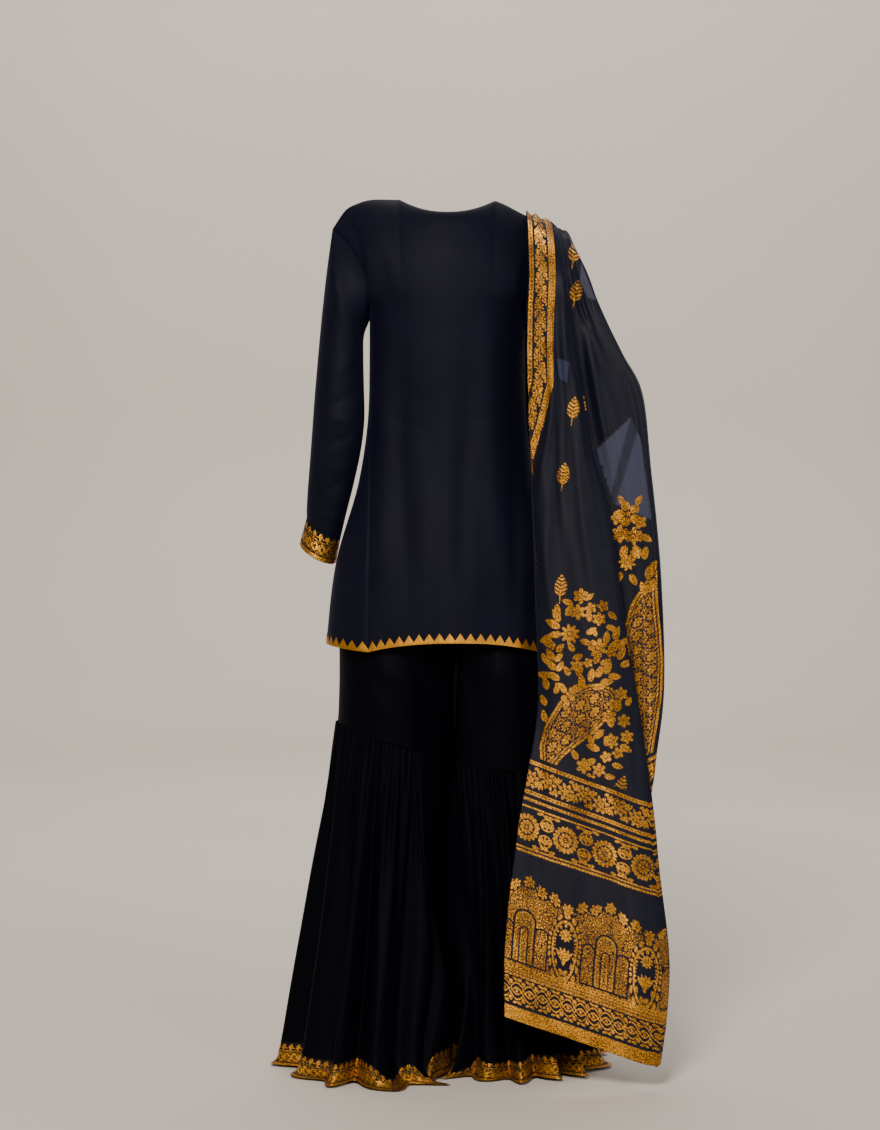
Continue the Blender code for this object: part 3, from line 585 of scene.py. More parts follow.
def trail(turn, side):
    """How much cloth lies on the floor at each place round the hem."""
    rows = TRAILS_LEFT if side < 0 else TRAILS_RIGHT
    back_turn = from_back(turn, side)
    total = np.zeros_like(turn) + LEAST_TRAIL
    for place, spread, length in zip(rows["turn"], rows["spread"], rows["length"]):
        total = total + length * np.exp(-(((back_turn - place) / spread) ** 2))
    return total


def leg_section(turn, below, side):
    """The leg's ring without its folds, by the distance below the seam."""
    angle = 2 * math.pi * from_back(turn, side)
    read = {name: smooth_read(FLARE, name, below, key="below") for name in FLARE if name != "below"}
    centre = (read["outer"] + read["inner"]) / 2
    radius = (read["outer"] - read["inner"]) / 2
    depth = np.where(np.sin(angle) > 0, read["back"], read["front"])
    lobe = np.abs(np.cos(angle)) ** LEG_FLATNESS * np.sign(np.cos(angle))
    return side * (centre - radius * lobe), -depth * np.sin(angle) * LEG_FLATNESS


def pleats(turn, length, side):
    """Fine gathers at the seam, which run together in twos and fade out down the leg."""
    phase = turn * 2 * math.pi
    uneven = phase + 0.035 * np.sin(5 * phase + side) + 0.02 * np.sin(11 * phase + 2 * side)
    fine = np.cos(GATHERS * uneven + 1.5 * np.sin(7 * phase) * step(0.0, 0.25, length))
    paired = np.cos(GATHERS / 2 * uneven + 2.2 * np.sin(4 * phase + side) + 3 * length)
    fine = fine * GATHER_DEPTH * step(0.30, 0.03, length) * (0.7 + 0.3 * np.sin(5 * phase + side))
    reach = 0.34 + 0.12 * np.sin(6 * phase + 2 * side)
    middle = step(0.01, 0.12, length) * np.clip(1 - (length / reach) ** 2, 0, 1)
    return fine + PAIRED_DEPTH * paired * middle


def flutes(turn, length, excess, side):
    """Broad flutes that grow down the leg, and the pleats above them. Both are softer on the inner
    side, and the flutes also where the cloth lies on the floor."""
    phase = turn * 2 * math.pi
    bends = 1.1 * np.sin(3 * phase + 0.6 * side) + 0.8 * np.sin(2 * phase + 1.9 + side)
    flute = np.cos(FLUTES * phase + bends) + 0.35 * np.sin((FLUTES + 6) * phase + 2.0 * bends)
    growth = step(-0.05, 0.50, length)
    inner = 1 - 0.95 * step(0.35, 0.90, np.cos(2 * math.pi * turn))
    push = FLUTE_DEPTH * growth * flute * inner * (1 - 0.4 * step(0.0, 0.08, excess))
    return push + pleats(turn, length, side) * (0.3 + 0.7 * inner)


def swept_back(turn, length, side):
    """How far the folds beside the inseam, and those of the left leg's back, are swept back."""
    turn = from_back(turn, side)
    swept = INNER_FOLD * step(0, 0.05, turn) * step(0.15, 0.06, turn)
    if side < 0:
        swept = swept + LEFT_SWEEP * step(0.03, 0.17, turn) * step(0.42, 0.20, turn)
    return swept * step(0.15, 0.60, length)


def flare_point(turn, along, side):
    """A point of the gathered leg: along is 0 at the seam and 1 at the hem, on the cloth."""
    x_seam, _ = leg_section(turn, np.zeros_like(turn), side)
    top = seam_z(x_seam, side)
    drop = top - FLOOR_Z
    length = along * (drop + trail(turn, side))
    bend = FLOOR_BEND + BEND_SHARE * trail(turn, side)
    excess = np.logaddexp(0, (length - drop) / bend) * bend
    below = length - excess
    x, y = leg_section(turn, below, side)
    ahead = leg_section(turn + TURN_STEP, below, side)
    behind = leg_section(turn - TURN_STEP, below, side)
    out = np.stack([ahead[1] - behind[1], behind[0] - ahead[0]], axis=-1)
    out = out / np.linalg.norm(out, axis=-1, keepdims=True)
    push = flutes(turn, length, excess, side)
    push = push + excess * np.abs(np.sin(math.pi * turn)) ** 0.3
    y = y - swept_back(turn, length, side)
    return lean(np.stack([x + out[..., 0] * push, y + out[..., 1] * push, top - below], axis=-1))


# %% Sew the trousers
THIGH_COLUMNS, THIGH_ROWS, ROWS_TO_CROTCH = 140, 90, 60
WAIST_COLUMNS, WAIST_ROWS = 160, 8
LEG_COLUMNS, LEG_ROWS, BORDER_COLUMNS, BORDER_ROWS = 430, 78, 1080, 26
CRUSHED_SILK = 0.0007
BORDER_START = 1 - HEM_BORDER / LEG_DROP


def thigh(name, side):
    upper, lower = np.linspace(-1, 0, ROWS_TO_CROTCH), np.linspace(0, 1, THIGH_ROWS - ROWS_TO_CROTCH + 1)
    down = np.concatenate([upper[:-1], lower])
    down, turn = grid(down, np.linspace(0, 1, THIGH_COLUMNS))
    points = thigh_point(turn, down, side)
    moved = lay_creases(points, THIGH_CREASES, -1)
    moved = lay_creases(moved, THIGH_CREASES, 1)
    moved = moved + out_of(points) * small_waves(points, 0.04, 0.0007, 8)
    held = step(-1, -0.8, down) * step(1, 0.8, down) * step(0, 0.1, turn) * step(1, 0.9, turn)
    return sew(name, mix(points, moved, held[..., None]))


def leg_points(side, along, columns):
    along, turn = grid(along, np.arange(columns) / columns)
    return flare_point(turn, along, side)


def waistband():
    columns = np.arange(WAIST_COLUMNS) / WAIST_COLUMNS
    z, turn = grid(np.linspace(WAIST_TOP_Z, WAIST_Z, WAIST_ROWS), columns)
    angle = 2 * math.pi * turn
    half = smooth_read(HIPS, "half_width", z)
    depth = depth_of(HIPS, np.cos(angle) > 0, z)
    points = np.stack([half * np.sin(angle), -depth * np.cos(angle), z], axis=-1)
    return sew("trouser_waistband", points, True, CRUSHED_SILK)


band = waistband()
thighs = [thigh("trouser_thigh_left", -1), thigh("trouser_thigh_right", 1)]
leg_along = BORDER_START * np.linspace(0, 1, LEG_ROWS)
legs = [
    sew("trouser_leg_left", leg_points(-1, leg_along, LEG_COLUMNS), True),
    sew("trouser_leg_right", leg_points(1, leg_along, LEG_COLUMNS), True),
]

# %% [markdown]
# ## The scarf
# The dupatta is one length of organza, folded over the right shoulder. Seen from behind, the front
# layer runs from the long border to a ridge fold, turns in, and comes out again as a second layer
# that wraps the arm. The stations of the table go down the back, and the share across runs through
# all the folds.

# %% Sizes of the scarf
SHOULDER_CLEAR, SHOULDER_PLEAT = 0.0030, 0.0028
TUCK_AT_SHOULDER, TUCK_DEPTH = 0.004, 0.110
FRONT_FALL_LENGTH, FRONT_FALL_Y, FRONT_FOLD = 1.02, 0.150, 0.012
FRONT_FALL_OUTER_X, FRONT_FALL_INNER_X = 0.185, 0.030
# The places across the scarf of its ridge fold, its inner turn and its outer fold.
RIDGE, INNER_TURN, OUTER_FOLD = 0.40, 0.56, 0.84
# The long edge is turned under from the elbow down, by this width, and runs flat behind.
TURNED_WIDTH, TURN_STARTS, TURN_ENDS = 0.053, 3.2, 5.2
MEASURED, FLAT_BEHIND, SLOPE_BEHIND, FOLD_THICKNESS = 0.30, 0.97, 0.12, 0.005

BACK_FALL = table("station edge_x edge_z ridge_x ridge_z outer_x outer_z front_y back_y far_y", (
    (0, 0.134, 0.010, 0.176, -0.014, 0.189, -0.024, 0.000, 0.000, 0.000),
    (0.5, 0.1345, -0.038, 0.190, -0.052, 0.207, -0.052, -0.074, -0.050, -0.014),
    (1, 0.1355, -0.095, 0.196, -0.102, 0.2266, -0.089, -0.106, -0.074, -0.006),
    (2, 0.133, -0.168, 0.208, -0.178, 0.2545, -0.158, -0.115, -0.084, 0.025),
    (3, 0.132, -0.250, 0.221, -0.269, 0.291, -0.240, -0.120, -0.092, 0.040),
    (4, 0.135, -0.350, 0.2395, -0.373, 0.3227, -0.308, -0.124, -0.096, 0.035),
    (5, 0.137, -0.482, 0.271, -0.515, 0.3377, -0.432, -0.131, -0.100, 0.040),
    (6, 0.142, -0.647, 0.297, -0.700, 0.356, -0.615, -0.142, -0.106, 0.045),
    (7, 0.1465, -0.812, 0.325, -0.874, 0.360, -0.798, -0.157, -0.120, 0.040),
    (8, 0.1315, -0.930, 0.342, -1.007, 0.345, -0.922, -0.171, -0.136, 0.020),
    (9, 0.118, -1.010, 0.350, -1.0895, 0.330, -1.004, -0.181, -0.146, 0.010),
    (10, 0.100, -1.143, 0.3655, -1.227, 0.334, -1.127, -0.198, -0.160, 0.000),
    (11, 0.093, -1.235, 0.363, -1.325, 0.333, -1.224, -0.207, -0.168, 0.000),
    (12, 0.093, -1.325, 0.352, -1.4105, 0.331, -1.306, -0.217, -0.176, 0.000),
))
FOLDS = table("across front ridge outer depth height", (
    (0.00, 1.00, 0.00, 0.00, 0.00, 0),
    (0.14, 0.72, 0.28, 0.00, -0.22, 0),
    (0.28, 0.40, 0.60, 0.00, -0.30, 0),
    (0.40, 0.06, 0.94, 0.00, -0.05, 0),
    (0.44, 0.00, 0.99, 0.00, 0.20, 0.05),
    (0.52, 0.06, 0.80, 0.00, 0.45, 0.25),
    (0.585, 0.08, 0.70, 0.04, 0.66, 0.50),
    (0.64, 0.06, 0.62, 0.20, 0.88, 0.70),
    (0.76, 0.00, 0.24, 0.76, 1.00, 0.95),
    (0.84, 0.00, 0.00, 1.00, 1.12, 1.0),
))
# Soft long folds of the hanging cloth. start and stop are the stations between which each one lies.
SCARF_FOLDS = table("across width height start stop", (
    (0.075, 0.022, 0.0030, 2.5, 9.5),
    (0.150, 0.030, -0.0042, 1.6, 11.0),
    (0.215, 0.020, 0.0034, 2.6, 8.0),
    (0.290, 0.026, -0.0040, 1.4, 10.5),
    (0.345, 0.020, 0.0042, 2.0, 12.5),
    (0.640, 0.026, -0.0050, 2.0, 9.0),
    (0.700, 0.022, 0.0046, 1.5, 8.5),
    (0.760, 0.024, -0.0040, 2.5, 9.5),
    (0.900, 0.024, 0.0040, 2.0, 10.0),
    (0.950, 0.020, -0.0034, 3.0, 11.0),
))
# Sharp creases that fan out from the shoulder.
FALL_CREASES = table(FOLD, (
    (0.188, -0.020, 0.222, -0.200, 0.0055, 0.0056),
    (0.200, -0.030, 0.252, -0.225, 0.0060, -0.0056),
    (0.208, -0.090, 0.262, -0.260, 0.0060, 0.0060),
    (0.214, -0.140, 0.246, -0.215, 0.0050, -0.0040),
    (0.232, -0.200, 0.278, -0.470, 0.0070, 0.0056),
    (0.222, -0.220, 0.262, -0.480, 0.0080, -0.0054),
    (0.186, -0.060, 0.200, -0.330, 0.0070, 0.0048),
    (0.204, -0.330, 0.238, -0.640, 0.0090, 0.0050),
    (0.180, -0.300, 0.196, -0.560, 0.0080, -0.0048),
    (0.160, -0.420, 0.168, -0.640, 0.0100, 0.0046),
    (0.290, -0.700, 0.318, -0.980, 0.0100, -0.0030),
    (0.200, -0.960, 0.215, -1.320, 0.0160, 0.0034),
    (0.270, -0.980, 0.296, -1.340, 0.0150, -0.0034),
    (0.140, -0.980, 0.140, -1.300, 0.0140, -0.0030),
))


# %% Shape of the scarf
def fall_point(across, station):
    """The scarf down the back. across runs over its width, through its folds."""
    row = {name: smooth_read(BACK_FALL, name, station, key="station") for name in BACK_FALL}
    part = {name: smooth_read(FOLDS, name, across, key="across") for name in FOLDS}
    rest = 1 - part["front"] - part["ridge"] - part["outer"]
    tuck_x = row["ridge_x"] + TUCK_AT_SHOULDER - TUCK_DEPTH * step(0, 4, station)
    x = (
        part["front"] * row["edge_x"]
        + part["ridge"] * row["ridge_x"]
        + part["outer"] * row["outer_x"]
        + rest * tuck_x
    )
    down = mix(part["ridge"] / np.maximum(part["front"] + part["ridge"], 1e-6), 1, part["height"] > 0)
    z = mix(mix(row["edge_z"], row["ridge_z"], down), row["outer_z"], part["height"])
    y = mix(row["front_y"], row["back_y"], part["depth"])
    far = step(OUTER_FOLD, 1.0, across)
    x = x + far * 0.006
    y = mix(y, row["far_y"], far)
    pleats_up = SHOULDER_PLEAT * (1 + np.cos(12 * math.pi * across))
    on_shoulder = shoulder_z(x) + SHOULDER_CLEAR + pleats_up
    z = mix(on_shoulder, z, step(0, 0.6, station))
    ripple = 0.0035 * step(1, 6, station) * np.sin(19 * across + 0.35 * station) * (1 - far)
    return np.stack([x, y + ripple, z], axis=-1)


def turned_under(across, station):
    """The scarf with its long border folded flat behind it, from the elbow down."""
    inside, edge = np.full_like(across, MEASURED), np.zeros_like(across)
    flat = fall_point(inside, station) - fall_point(edge, station)
    across_rate = np.linalg.norm(flat, axis=-1) / MEASURED
    share = TURNED_WIDTH / across_rate * step(TURN_STARTS, TURN_ENDS, station)
    kept = np.maximum(across - share, 0) / (RIDGE - share) * RIDGE
    points = fall_point(np.where(across < RIDGE, kept, across), station)
    back = np.maximum(share - across, 0) * across_rate
    behind = SLOPE_BEHIND * back + FOLD_THICKNESS * step(0, 0.004, back)
    return points + np.stack([FLAT_BEHIND * back, behind, 0 * back], axis=-1)


def folded_fall(across, station):
    """The scarf with its long soft folds."""
    points = turned_under(across, station)
    push = np.zeros_like(across)
    for place, width, height, start, stop in zip(*SCARF_FOLDS.values()):
        sway = place + 0.012 * np.sin(0.9 * station + 30 * place)
        fade = step(start, start + 2, station) * step(stop, stop - 3, station)
        push = push + height * fade * np.exp(-(((across - sway) / width) ** 2))
    held = step(0, 0.03, across) * step(1, 0.97, across) * step(0.3, 1.2, station)
    creased = lay_creases(points, FALL_CREASES, -1)
    points = mix(points, creased, held[..., None])
    moved = points + out_of(points) * (push * held)[..., None]
    return moved + out_of(points) * small_waves(points, 0.035, 0.0007, 2) * held[..., None]


def front_fall(columns):
    """The scarf down the front, hidden in the picture: three plain soft folds."""
    across_top = np.linspace(0, 1, columns)
    top = fall_point(across_top, np.zeros(columns))[::-1]
    upper, lower = 0.6 * np.linspace(0, 1, 40) ** 1.3, np.linspace(0.6, 1, 121)
    down, across = grid(np.concatenate([upper[:-1], lower]), across_top)
    spread = step(0, 0.5, down)
    x = mix(top[None, :, 0], mix(FRONT_FALL_OUTER_X, FRONT_FALL_INNER_X, across), spread)
    y_fold = FRONT_FOLD * np.cos(6 * math.pi * across)
    y = mix(top[None, :, 1], FRONT_FALL_Y + y_fold, step(0, 0.12, down) ** 0.6)
    z = top[None, :, 2] - FRONT_FALL_LENGTH * down**1.1 * (1 + 0.02 * across)
    return np.stack([x, y, z], axis=-1)


# %% [markdown]
# ### Measuring along the scarf
# The woven design follows the cloth and not the picture: its places are metres from the long edge
# and metres above the bottom edge. Both are walked on the hanging cloth, so that the design bends
# with the folds.

# %% Measure the scarf
END_PANEL = 0.432
LAST_STATION, WALK_STEPS, WALKED_ACROSS = 12, 600, 0.2
stations = np.linspace(0, LAST_STATION, WALK_STEPS)
spine = fall_point(np.full(WALK_STEPS, WALKED_ACROSS), stations)
walked = np.concatenate([[0], np.cumsum(np.linalg.norm(np.diff(spine, axis=0), axis=1))])
above_hem = walked[-1] - walked
panel_station = float(np.interp(-END_PANEL, -above_hem, stations))
print(f"back fall {walked[-1]:.3f} m, end panel from station {panel_station:.2f}")


# %% Grids of the scarf
def spread_columns(front, turn, second, last):
    """Places across the scarf, with a number of columns for each of its four folded parts."""
    ends = (0, RIDGE, INNER_TURN, OUTER_FOLD, 1.0)
    parts = zip(ends[:-1], ends[1:], (front, turn, second, last))
    return np.concatenate([np.linspace(a, b, n, endpoint=False) for a, b, n in parts] + [[1.0]])


FIELD_ACROSS = spread_columns(130, 16, 60, 24)
END_ACROSS = spread_columns(180, 12, 26, 50)


def scarf_stretch(first, last, rows, places):
    """A stretch of the scarf: its points, and each point's places across and up the cloth."""
    station, across = grid(np.linspace(first, last, rows), places)
    points = folded_fall(across, station)
    return points, steps_between(turned_under(across, station), 1), np.interp(station, stations, above_hem)


HALF_WAY, UPPER_SCARF_ROWS, LOWER_SCARF_ROWS, END_ROWS = 5.2, 265, 372, 300
upper_points, upper_u, upper_v = scarf_stretch(0, HALF_WAY, UPPER_SCARF_ROWS, FIELD_ACROSS)
lower_points, lower_u, lower_v = scarf_stretch(HALF_WAY, panel_station, LOWER_SCARF_ROWS, FIELD_ACROSS)
panel_points, panel_u, panel_v = scarf_stretch(panel_station, LAST_STATION, END_ROWS, END_ACROSS)

# %% [markdown]
# ## Drawing the woven figures
# Zari figures are woven in, so they are colour and sheen and not relief. Each is drawn as a
# distance: below nothing inside the gold thread, above nothing outside. The distance is kept on
# the cloth's points, and the material cuts it at nothing, which leaves a clean edge. Leaves,
# flowers, vines and paisleys are common to the whole craft and are drawn here. A second
# distance marks the grounds that are filled with fine curls, which the material draws itself.


# %% Shapes to draw with
PETAL_GAP = BAND_MARGIN = 0.0006


def turned(x, y, angle):
    """Places seen from an axis that is turned by an angle in degrees."""
    a = math.radians(angle)
    return x * math.cos(a) + y * math.sin(a), y * math.cos(a) - x * math.sin(a)


def merged(*shapes):
    found = shapes[0]
    for shape in shapes[1:]:
        found = np.minimum(found, shape)
    return found


def cut(shape, *holes):
    """A shape without the parts that lie in other shapes."""
    for hole in holes:
        shape = np.maximum(shape, -hole)
    return shape


def repeat(x, pitch, shift=0.0):
    """Places folded into one repeat of a band, from -pitch/2 to pitch/2."""
    return (x + shift + pitch / 2) % pitch - pitch / 2


def disc(x, y, radius):
    return np.hypot(x, y) - radius


def ellipse(x, y, long, wide):
    return (np.hypot(x / long, y / wide) - 1) * min(long, wide)


def leaf(x, y, length, width, rib=0.0):
    """A pointed leaf from the origin along x, with a dark midrib of some width."""
    share = np.clip(x / length, 0, 1)
    edge = np.abs(y) - width / 2 * np.sin(math.pi * share**0.8) ** 0.8
    edge = np.maximum(edge, np.maximum(-x, x - length))
    return np.maximum(edge, rib / 2 - np.abs(y)) if rib else edge


def leaves(x, y, angles, length, width):
    """Leaves that grow from one place, each at its own angle in degrees."""
    return merged(*(leaf(*turned(x, y, angle), length, width) for angle in angles))


def flower(x, y, radius, petals):
    """A flat flower of separate petals round an eye."""
    part = 2 * math.pi / petals
    angle = np.arctan2(y, x) % part - part / 2
    out = np.hypot(x, y)
    wide = 0.47 * radius * math.tan(min(math.pi / petals, 0.62))
    petal = ellipse(out * np.cos(angle) - 0.64 * radius, out * np.sin(angle), 0.36 * radius, wide)
    return merged(petal, out - 0.20 * radius)


def fan(x, y, inner, outer, petals):
    """A ring of petals that nearly touch."""
    part = 2 * math.pi / petals
    angle = np.arctan2(y, x)
    out = np.hypot(x, y)
    ring = np.maximum(inner - out, out - outer * (0.94 + 0.06 * np.cos(petals * angle + math.pi)))
    return np.maximum(ring, PETAL_GAP - out * np.sin(part / 2 - np.abs(angle % part - part / 2)))


def rose(x, y, radius):
    """A round rose: eight outer petals, a dark ring and a small flower in the middle."""
    outer = cut(flower(x, y, radius, 8), disc(x, y, 0.52 * radius))
    return merged(outer, flower(x, y, 0.46 * radius, 5))


def ribbed_leaf(x, y, length, width, ribs):
    """The small buti of the field: a leaf of slanting ribs on a stalk."""
    body = leaf(x, y, length, width)
    slant = (x - 0.55 * np.abs(y)) * ribs / length
    dark = 0.20 * length / ribs - np.abs((slant + 0.5) % 1 - 0.5) * length / ribs
    return merged(np.maximum(body, dark), np.maximum(np.abs(y) - 0.0009, np.abs(x) - 0.3 * length))


# %% [markdown]
# ### Bands
# The border, the cross bands and the end panel all repeat along their length. x runs along a band
# and y up from its lower edge.


# %% Narrow bands
def rope(x, y, height, pitch):
    """A solid stripe with a row of dark stitches along its middle."""
    stripe = np.abs(y - height / 2) - height / 2
    stitch_y = np.abs(y - height / 2) - height * 0.15
    return cut(stripe, np.maximum(stitch_y, np.abs(repeat(x, pitch)) - pitch * 0.24))


def line(y, place, width):
    return np.abs(y - place) - width / 2


def rose_vine(x, y, height, pitch):
    """Roses on alternate sides of a waving vine, with leaves between them."""
    middle = y - height / 2
    found = np.abs(middle + 0.30 * height * np.cos(math.pi * x / pitch)) - 0.0010
    for side in (-1, 1):
        px, py = repeat(x, 2 * pitch, 0 if side > 0 else pitch), middle + side * 0.09 * height
        found = cut(found, disc(px, py, 0.40 * height))
        gap_x, gap_y = px - pitch / 2, middle - side * 0.02 * height
        found = merged(
            found, rose(px, py, 0.37 * height),
            leaves(gap_x, gap_y - 0.08 * height, (62, 90, 118), 0.36 * height, 0.14 * height),
            leaves(gap_x, gap_y + 0.08 * height, (-62, -90, -118), 0.36 * height, 0.14 * height),
            leaves(px - 0.1 * pitch, middle - side * 0.36 * height, (20,), 0.22 * height, 0.12 * height),
        )
    return np.maximum(found, np.abs(middle) - height / 2 + BAND_MARGIN)


SCROLL_LEAVES = table("angle reach length", (
    (20, 0.02, 0.20), (70, 0.16, 0.20), (120, 0.10, 0.18),
    (160, 0.18, 0.22), (215, 0.20, 0.20), (250, 0.24, 0.16),
))


def rosette_scroll(x, y, height, pitch):
    """Large rosettes of many petals, with leafy scrolls between them."""
    middle = y - height / 2
    px = repeat(x, pitch)
    rosette = fan(px, middle, 0.22 * height, 0.37 * height, 18)
    heart = merged(fan(px, middle, 0.07 * height, 0.19 * height, 10), disc(px, middle, 0.04 * height))
    found = np.full(np.shape(x), 1.0)
    qx = np.abs(px) - pitch / 2
    for side in (-1, 1):
        qy = side * middle
        scroll = np.abs(disc(qx + 0.02 * pitch, qy - 0.22 * height, 0.15 * height)) - 0.0011
        found = merged(
            found, scroll, flower(qx, qy - 0.22 * height, 0.11 * height, 6),
            leaves(qx + 0.30 * pitch, qy - 0.44 * height, (10,), 0.20 * height, 0.09 * height),
            leaves(qx + 0.13 * pitch, qy - 0.44 * height, (-8,), 0.20 * height, 0.09 * height),
        )
        for angle, reach, length in zip(*SCROLL_LEAVES.values()):
            place = turned(qx + reach * pitch, qy - 0.10 * height, angle)
            found = merged(found, leaf(*place, length * height, 0.085 * height))
    found = cut(found, disc(px, middle, 0.40 * height))
    return np.maximum(merged(rosette, heart, found), np.abs(middle) - height / 2 + BAND_MARGIN)


def plait(x, y, height, pitch):
    """Two waves that cross, each edged in gold, with dots in their eyes and leaves outside."""
    middle = y - height / 2
    found = np.full(np.shape(x), 1.0)
    for side in (-1, 1):
        band = np.abs(middle - side * 0.22 * height * np.sin(2 * math.pi * x / pitch))
        found = merged(found, np.abs(band - 0.095 * height) - 0.034 * height)
    eye_x = repeat(x, pitch / 2, pitch / 4)
    found = merged(found, disc(eye_x, middle, 0.06 * height))
    for side in (-1, 1):
        tip = side * middle - 0.40 * height
        found = merged(
            found, disc(repeat(x, pitch / 2, pitch / 8), tip, 0.04 * height),
            leaves(repeat(x, pitch / 2), tip, (-90,), 0.20 * height, 0.16 * height),
            leaves(eye_x, tip - 0.01 * height, (18, 162), 0.21 * height, 0.10 * height),
        )
    return np.maximum(found, np.abs(middle) - height / 2)


def spade_row(x, y, height, pitch):
    """Upright spades in a row, each on a short stalk, with dots between."""
    px = repeat(x, pitch)
    spade = leaves(px, y - 0.10 * height, (90,), 0.90 * height, 0.62 * pitch)
    stalk = np.maximum(np.abs(px) - 0.0008, np.abs(y - 0.1 * height) - 0.1 * height)
    return merged(spade, stalk, disc(repeat(x, pitch, pitch / 2), y - 0.30 * height, 0.0017))


# %% The end panel
def arch(x, y, half, low, high):
    """A tall opening with a round top, as a distance."""
    top = high - half
    return np.where(y > top, np.hypot(x, y - top) - half, np.maximum(np.abs(x) - half, low - y))


def arch_panel(x, y, height, pitch):
    """Arches in turn with medallions, on a ground of curls, with flower heads along its top.
    Gives the gold and the ground."""
    along = 2 * math.pi * x / pitch
    top = height * (0.83 + 0.06 * np.cos(along) + 0.02 * np.cos(6 * math.pi * x / pitch))
    heads_x = repeat(x, pitch / 6)
    heads = flower(heads_x, y - top, 0.0105, 7)
    ground = np.maximum(y - top - 0.002, 0.0085 - y)
    ax = repeat(x, pitch)
    arches = arch(ax, y, 0.130 * pitch, 0.08 * height, 0.62 * height)
    sides = merged(*(
        arch(ax + aside * pitch, y, 0.080 * pitch, 0.08 * height, 0.48 * height) for aside in (-0.212, 0.212)
    ))
    inner = arch(ax, y, 0.050 * pitch, 0.08 * height, 0.45 * height)
    lines = merged(
        np.abs(arches) - 0.0015, cut(np.abs(sides) - 0.0014, arches), np.abs(inner) - 0.0012,
    )
    gold_lines = merged(np.abs(arches + 0.0035) - 0.0011, np.abs(inner + 0.0030) - 0.0010)
    bx, by = repeat(x, pitch, pitch / 2), y - 0.40 * height
    drop = ellipse(bx, by * (1 + 0.20 * np.sign(by)), 0.165 * pitch, 0.31 * height)
    scallop = disc(repeat(np.arctan2(bx, by) * 0.024, 0.0068), drop - 0.0030, 0.0026)
    pearl = disc(repeat(np.arctan2(bx, by) * 0.017, 0.0052), drop + 0.0060, 0.0015)
    heart = merged(
        flower(bx, by - 0.10 * height, 0.0115, 10),
        leaves(bx, by + 0.17 * height, (52, 71, 90, 109, 128), 0.024, 0.0062),
        leaves(bx, by - 0.15 * height, (90,), 0.012, 0.007),
        leaves(bx, by + 0.14 * height, (-90,), 0.012, 0.006),
    )
    medallion = np.where(drop < -0.0085, heart, merged(pearl, np.abs(drop + 0.0025) - 0.0013))
    foot = np.maximum(y - 0.0085, -y)
    feet = cut(foot, disc(repeat(x, 0.0075), y - 0.0042, 0.0015))
    gold = merged(gold_lines, np.where(drop < 0, medallion, 1.0), scallop, heads, feet)
    ground = cut(ground, lines, drop - 0.0062, disc(heads_x, y - top, 0.0118))
    return cut(gold, np.where(drop < 0.005, 1.0, lines)), ground


print("figures ready")

# %% [markdown]
# ## Figures on the scarf
# A figure of the field is placed by where it falls in the picture, and drawn on the layer of
# cloth that shows there. The bands need no placing: they follow the bottom edge, and the long border
# follows the long edge, through every fold.


# %% Where a point falls in the picture
PICTURE_CENTRE, PICTURE_HEIGHT = (440, 565), 1130
FOCAL = LENS_MM / SENSOR_MM * PICTURE_HEIGHT
FIGURE_PIXEL, FIGURE_GAP, SPINE_SPOTS = 0.00165, 0.0012, 40


def picture_place(points):
    """Each point's place in the picture's own pixels, across and down."""
    ahead = (look_at - camera.location).normalized()
    up = Vector((0, -ahead.z, ahead.y))
    from_camera = points - np.array(camera.location)
    depth = from_camera @ np.array(ahead)
    across = PICTURE_CENTRE[0] + FOCAL * from_camera[..., 0] / depth
    return across, PICTURE_CENTRE[1] - FOCAL * (from_camera @ np.array(up)) / depth


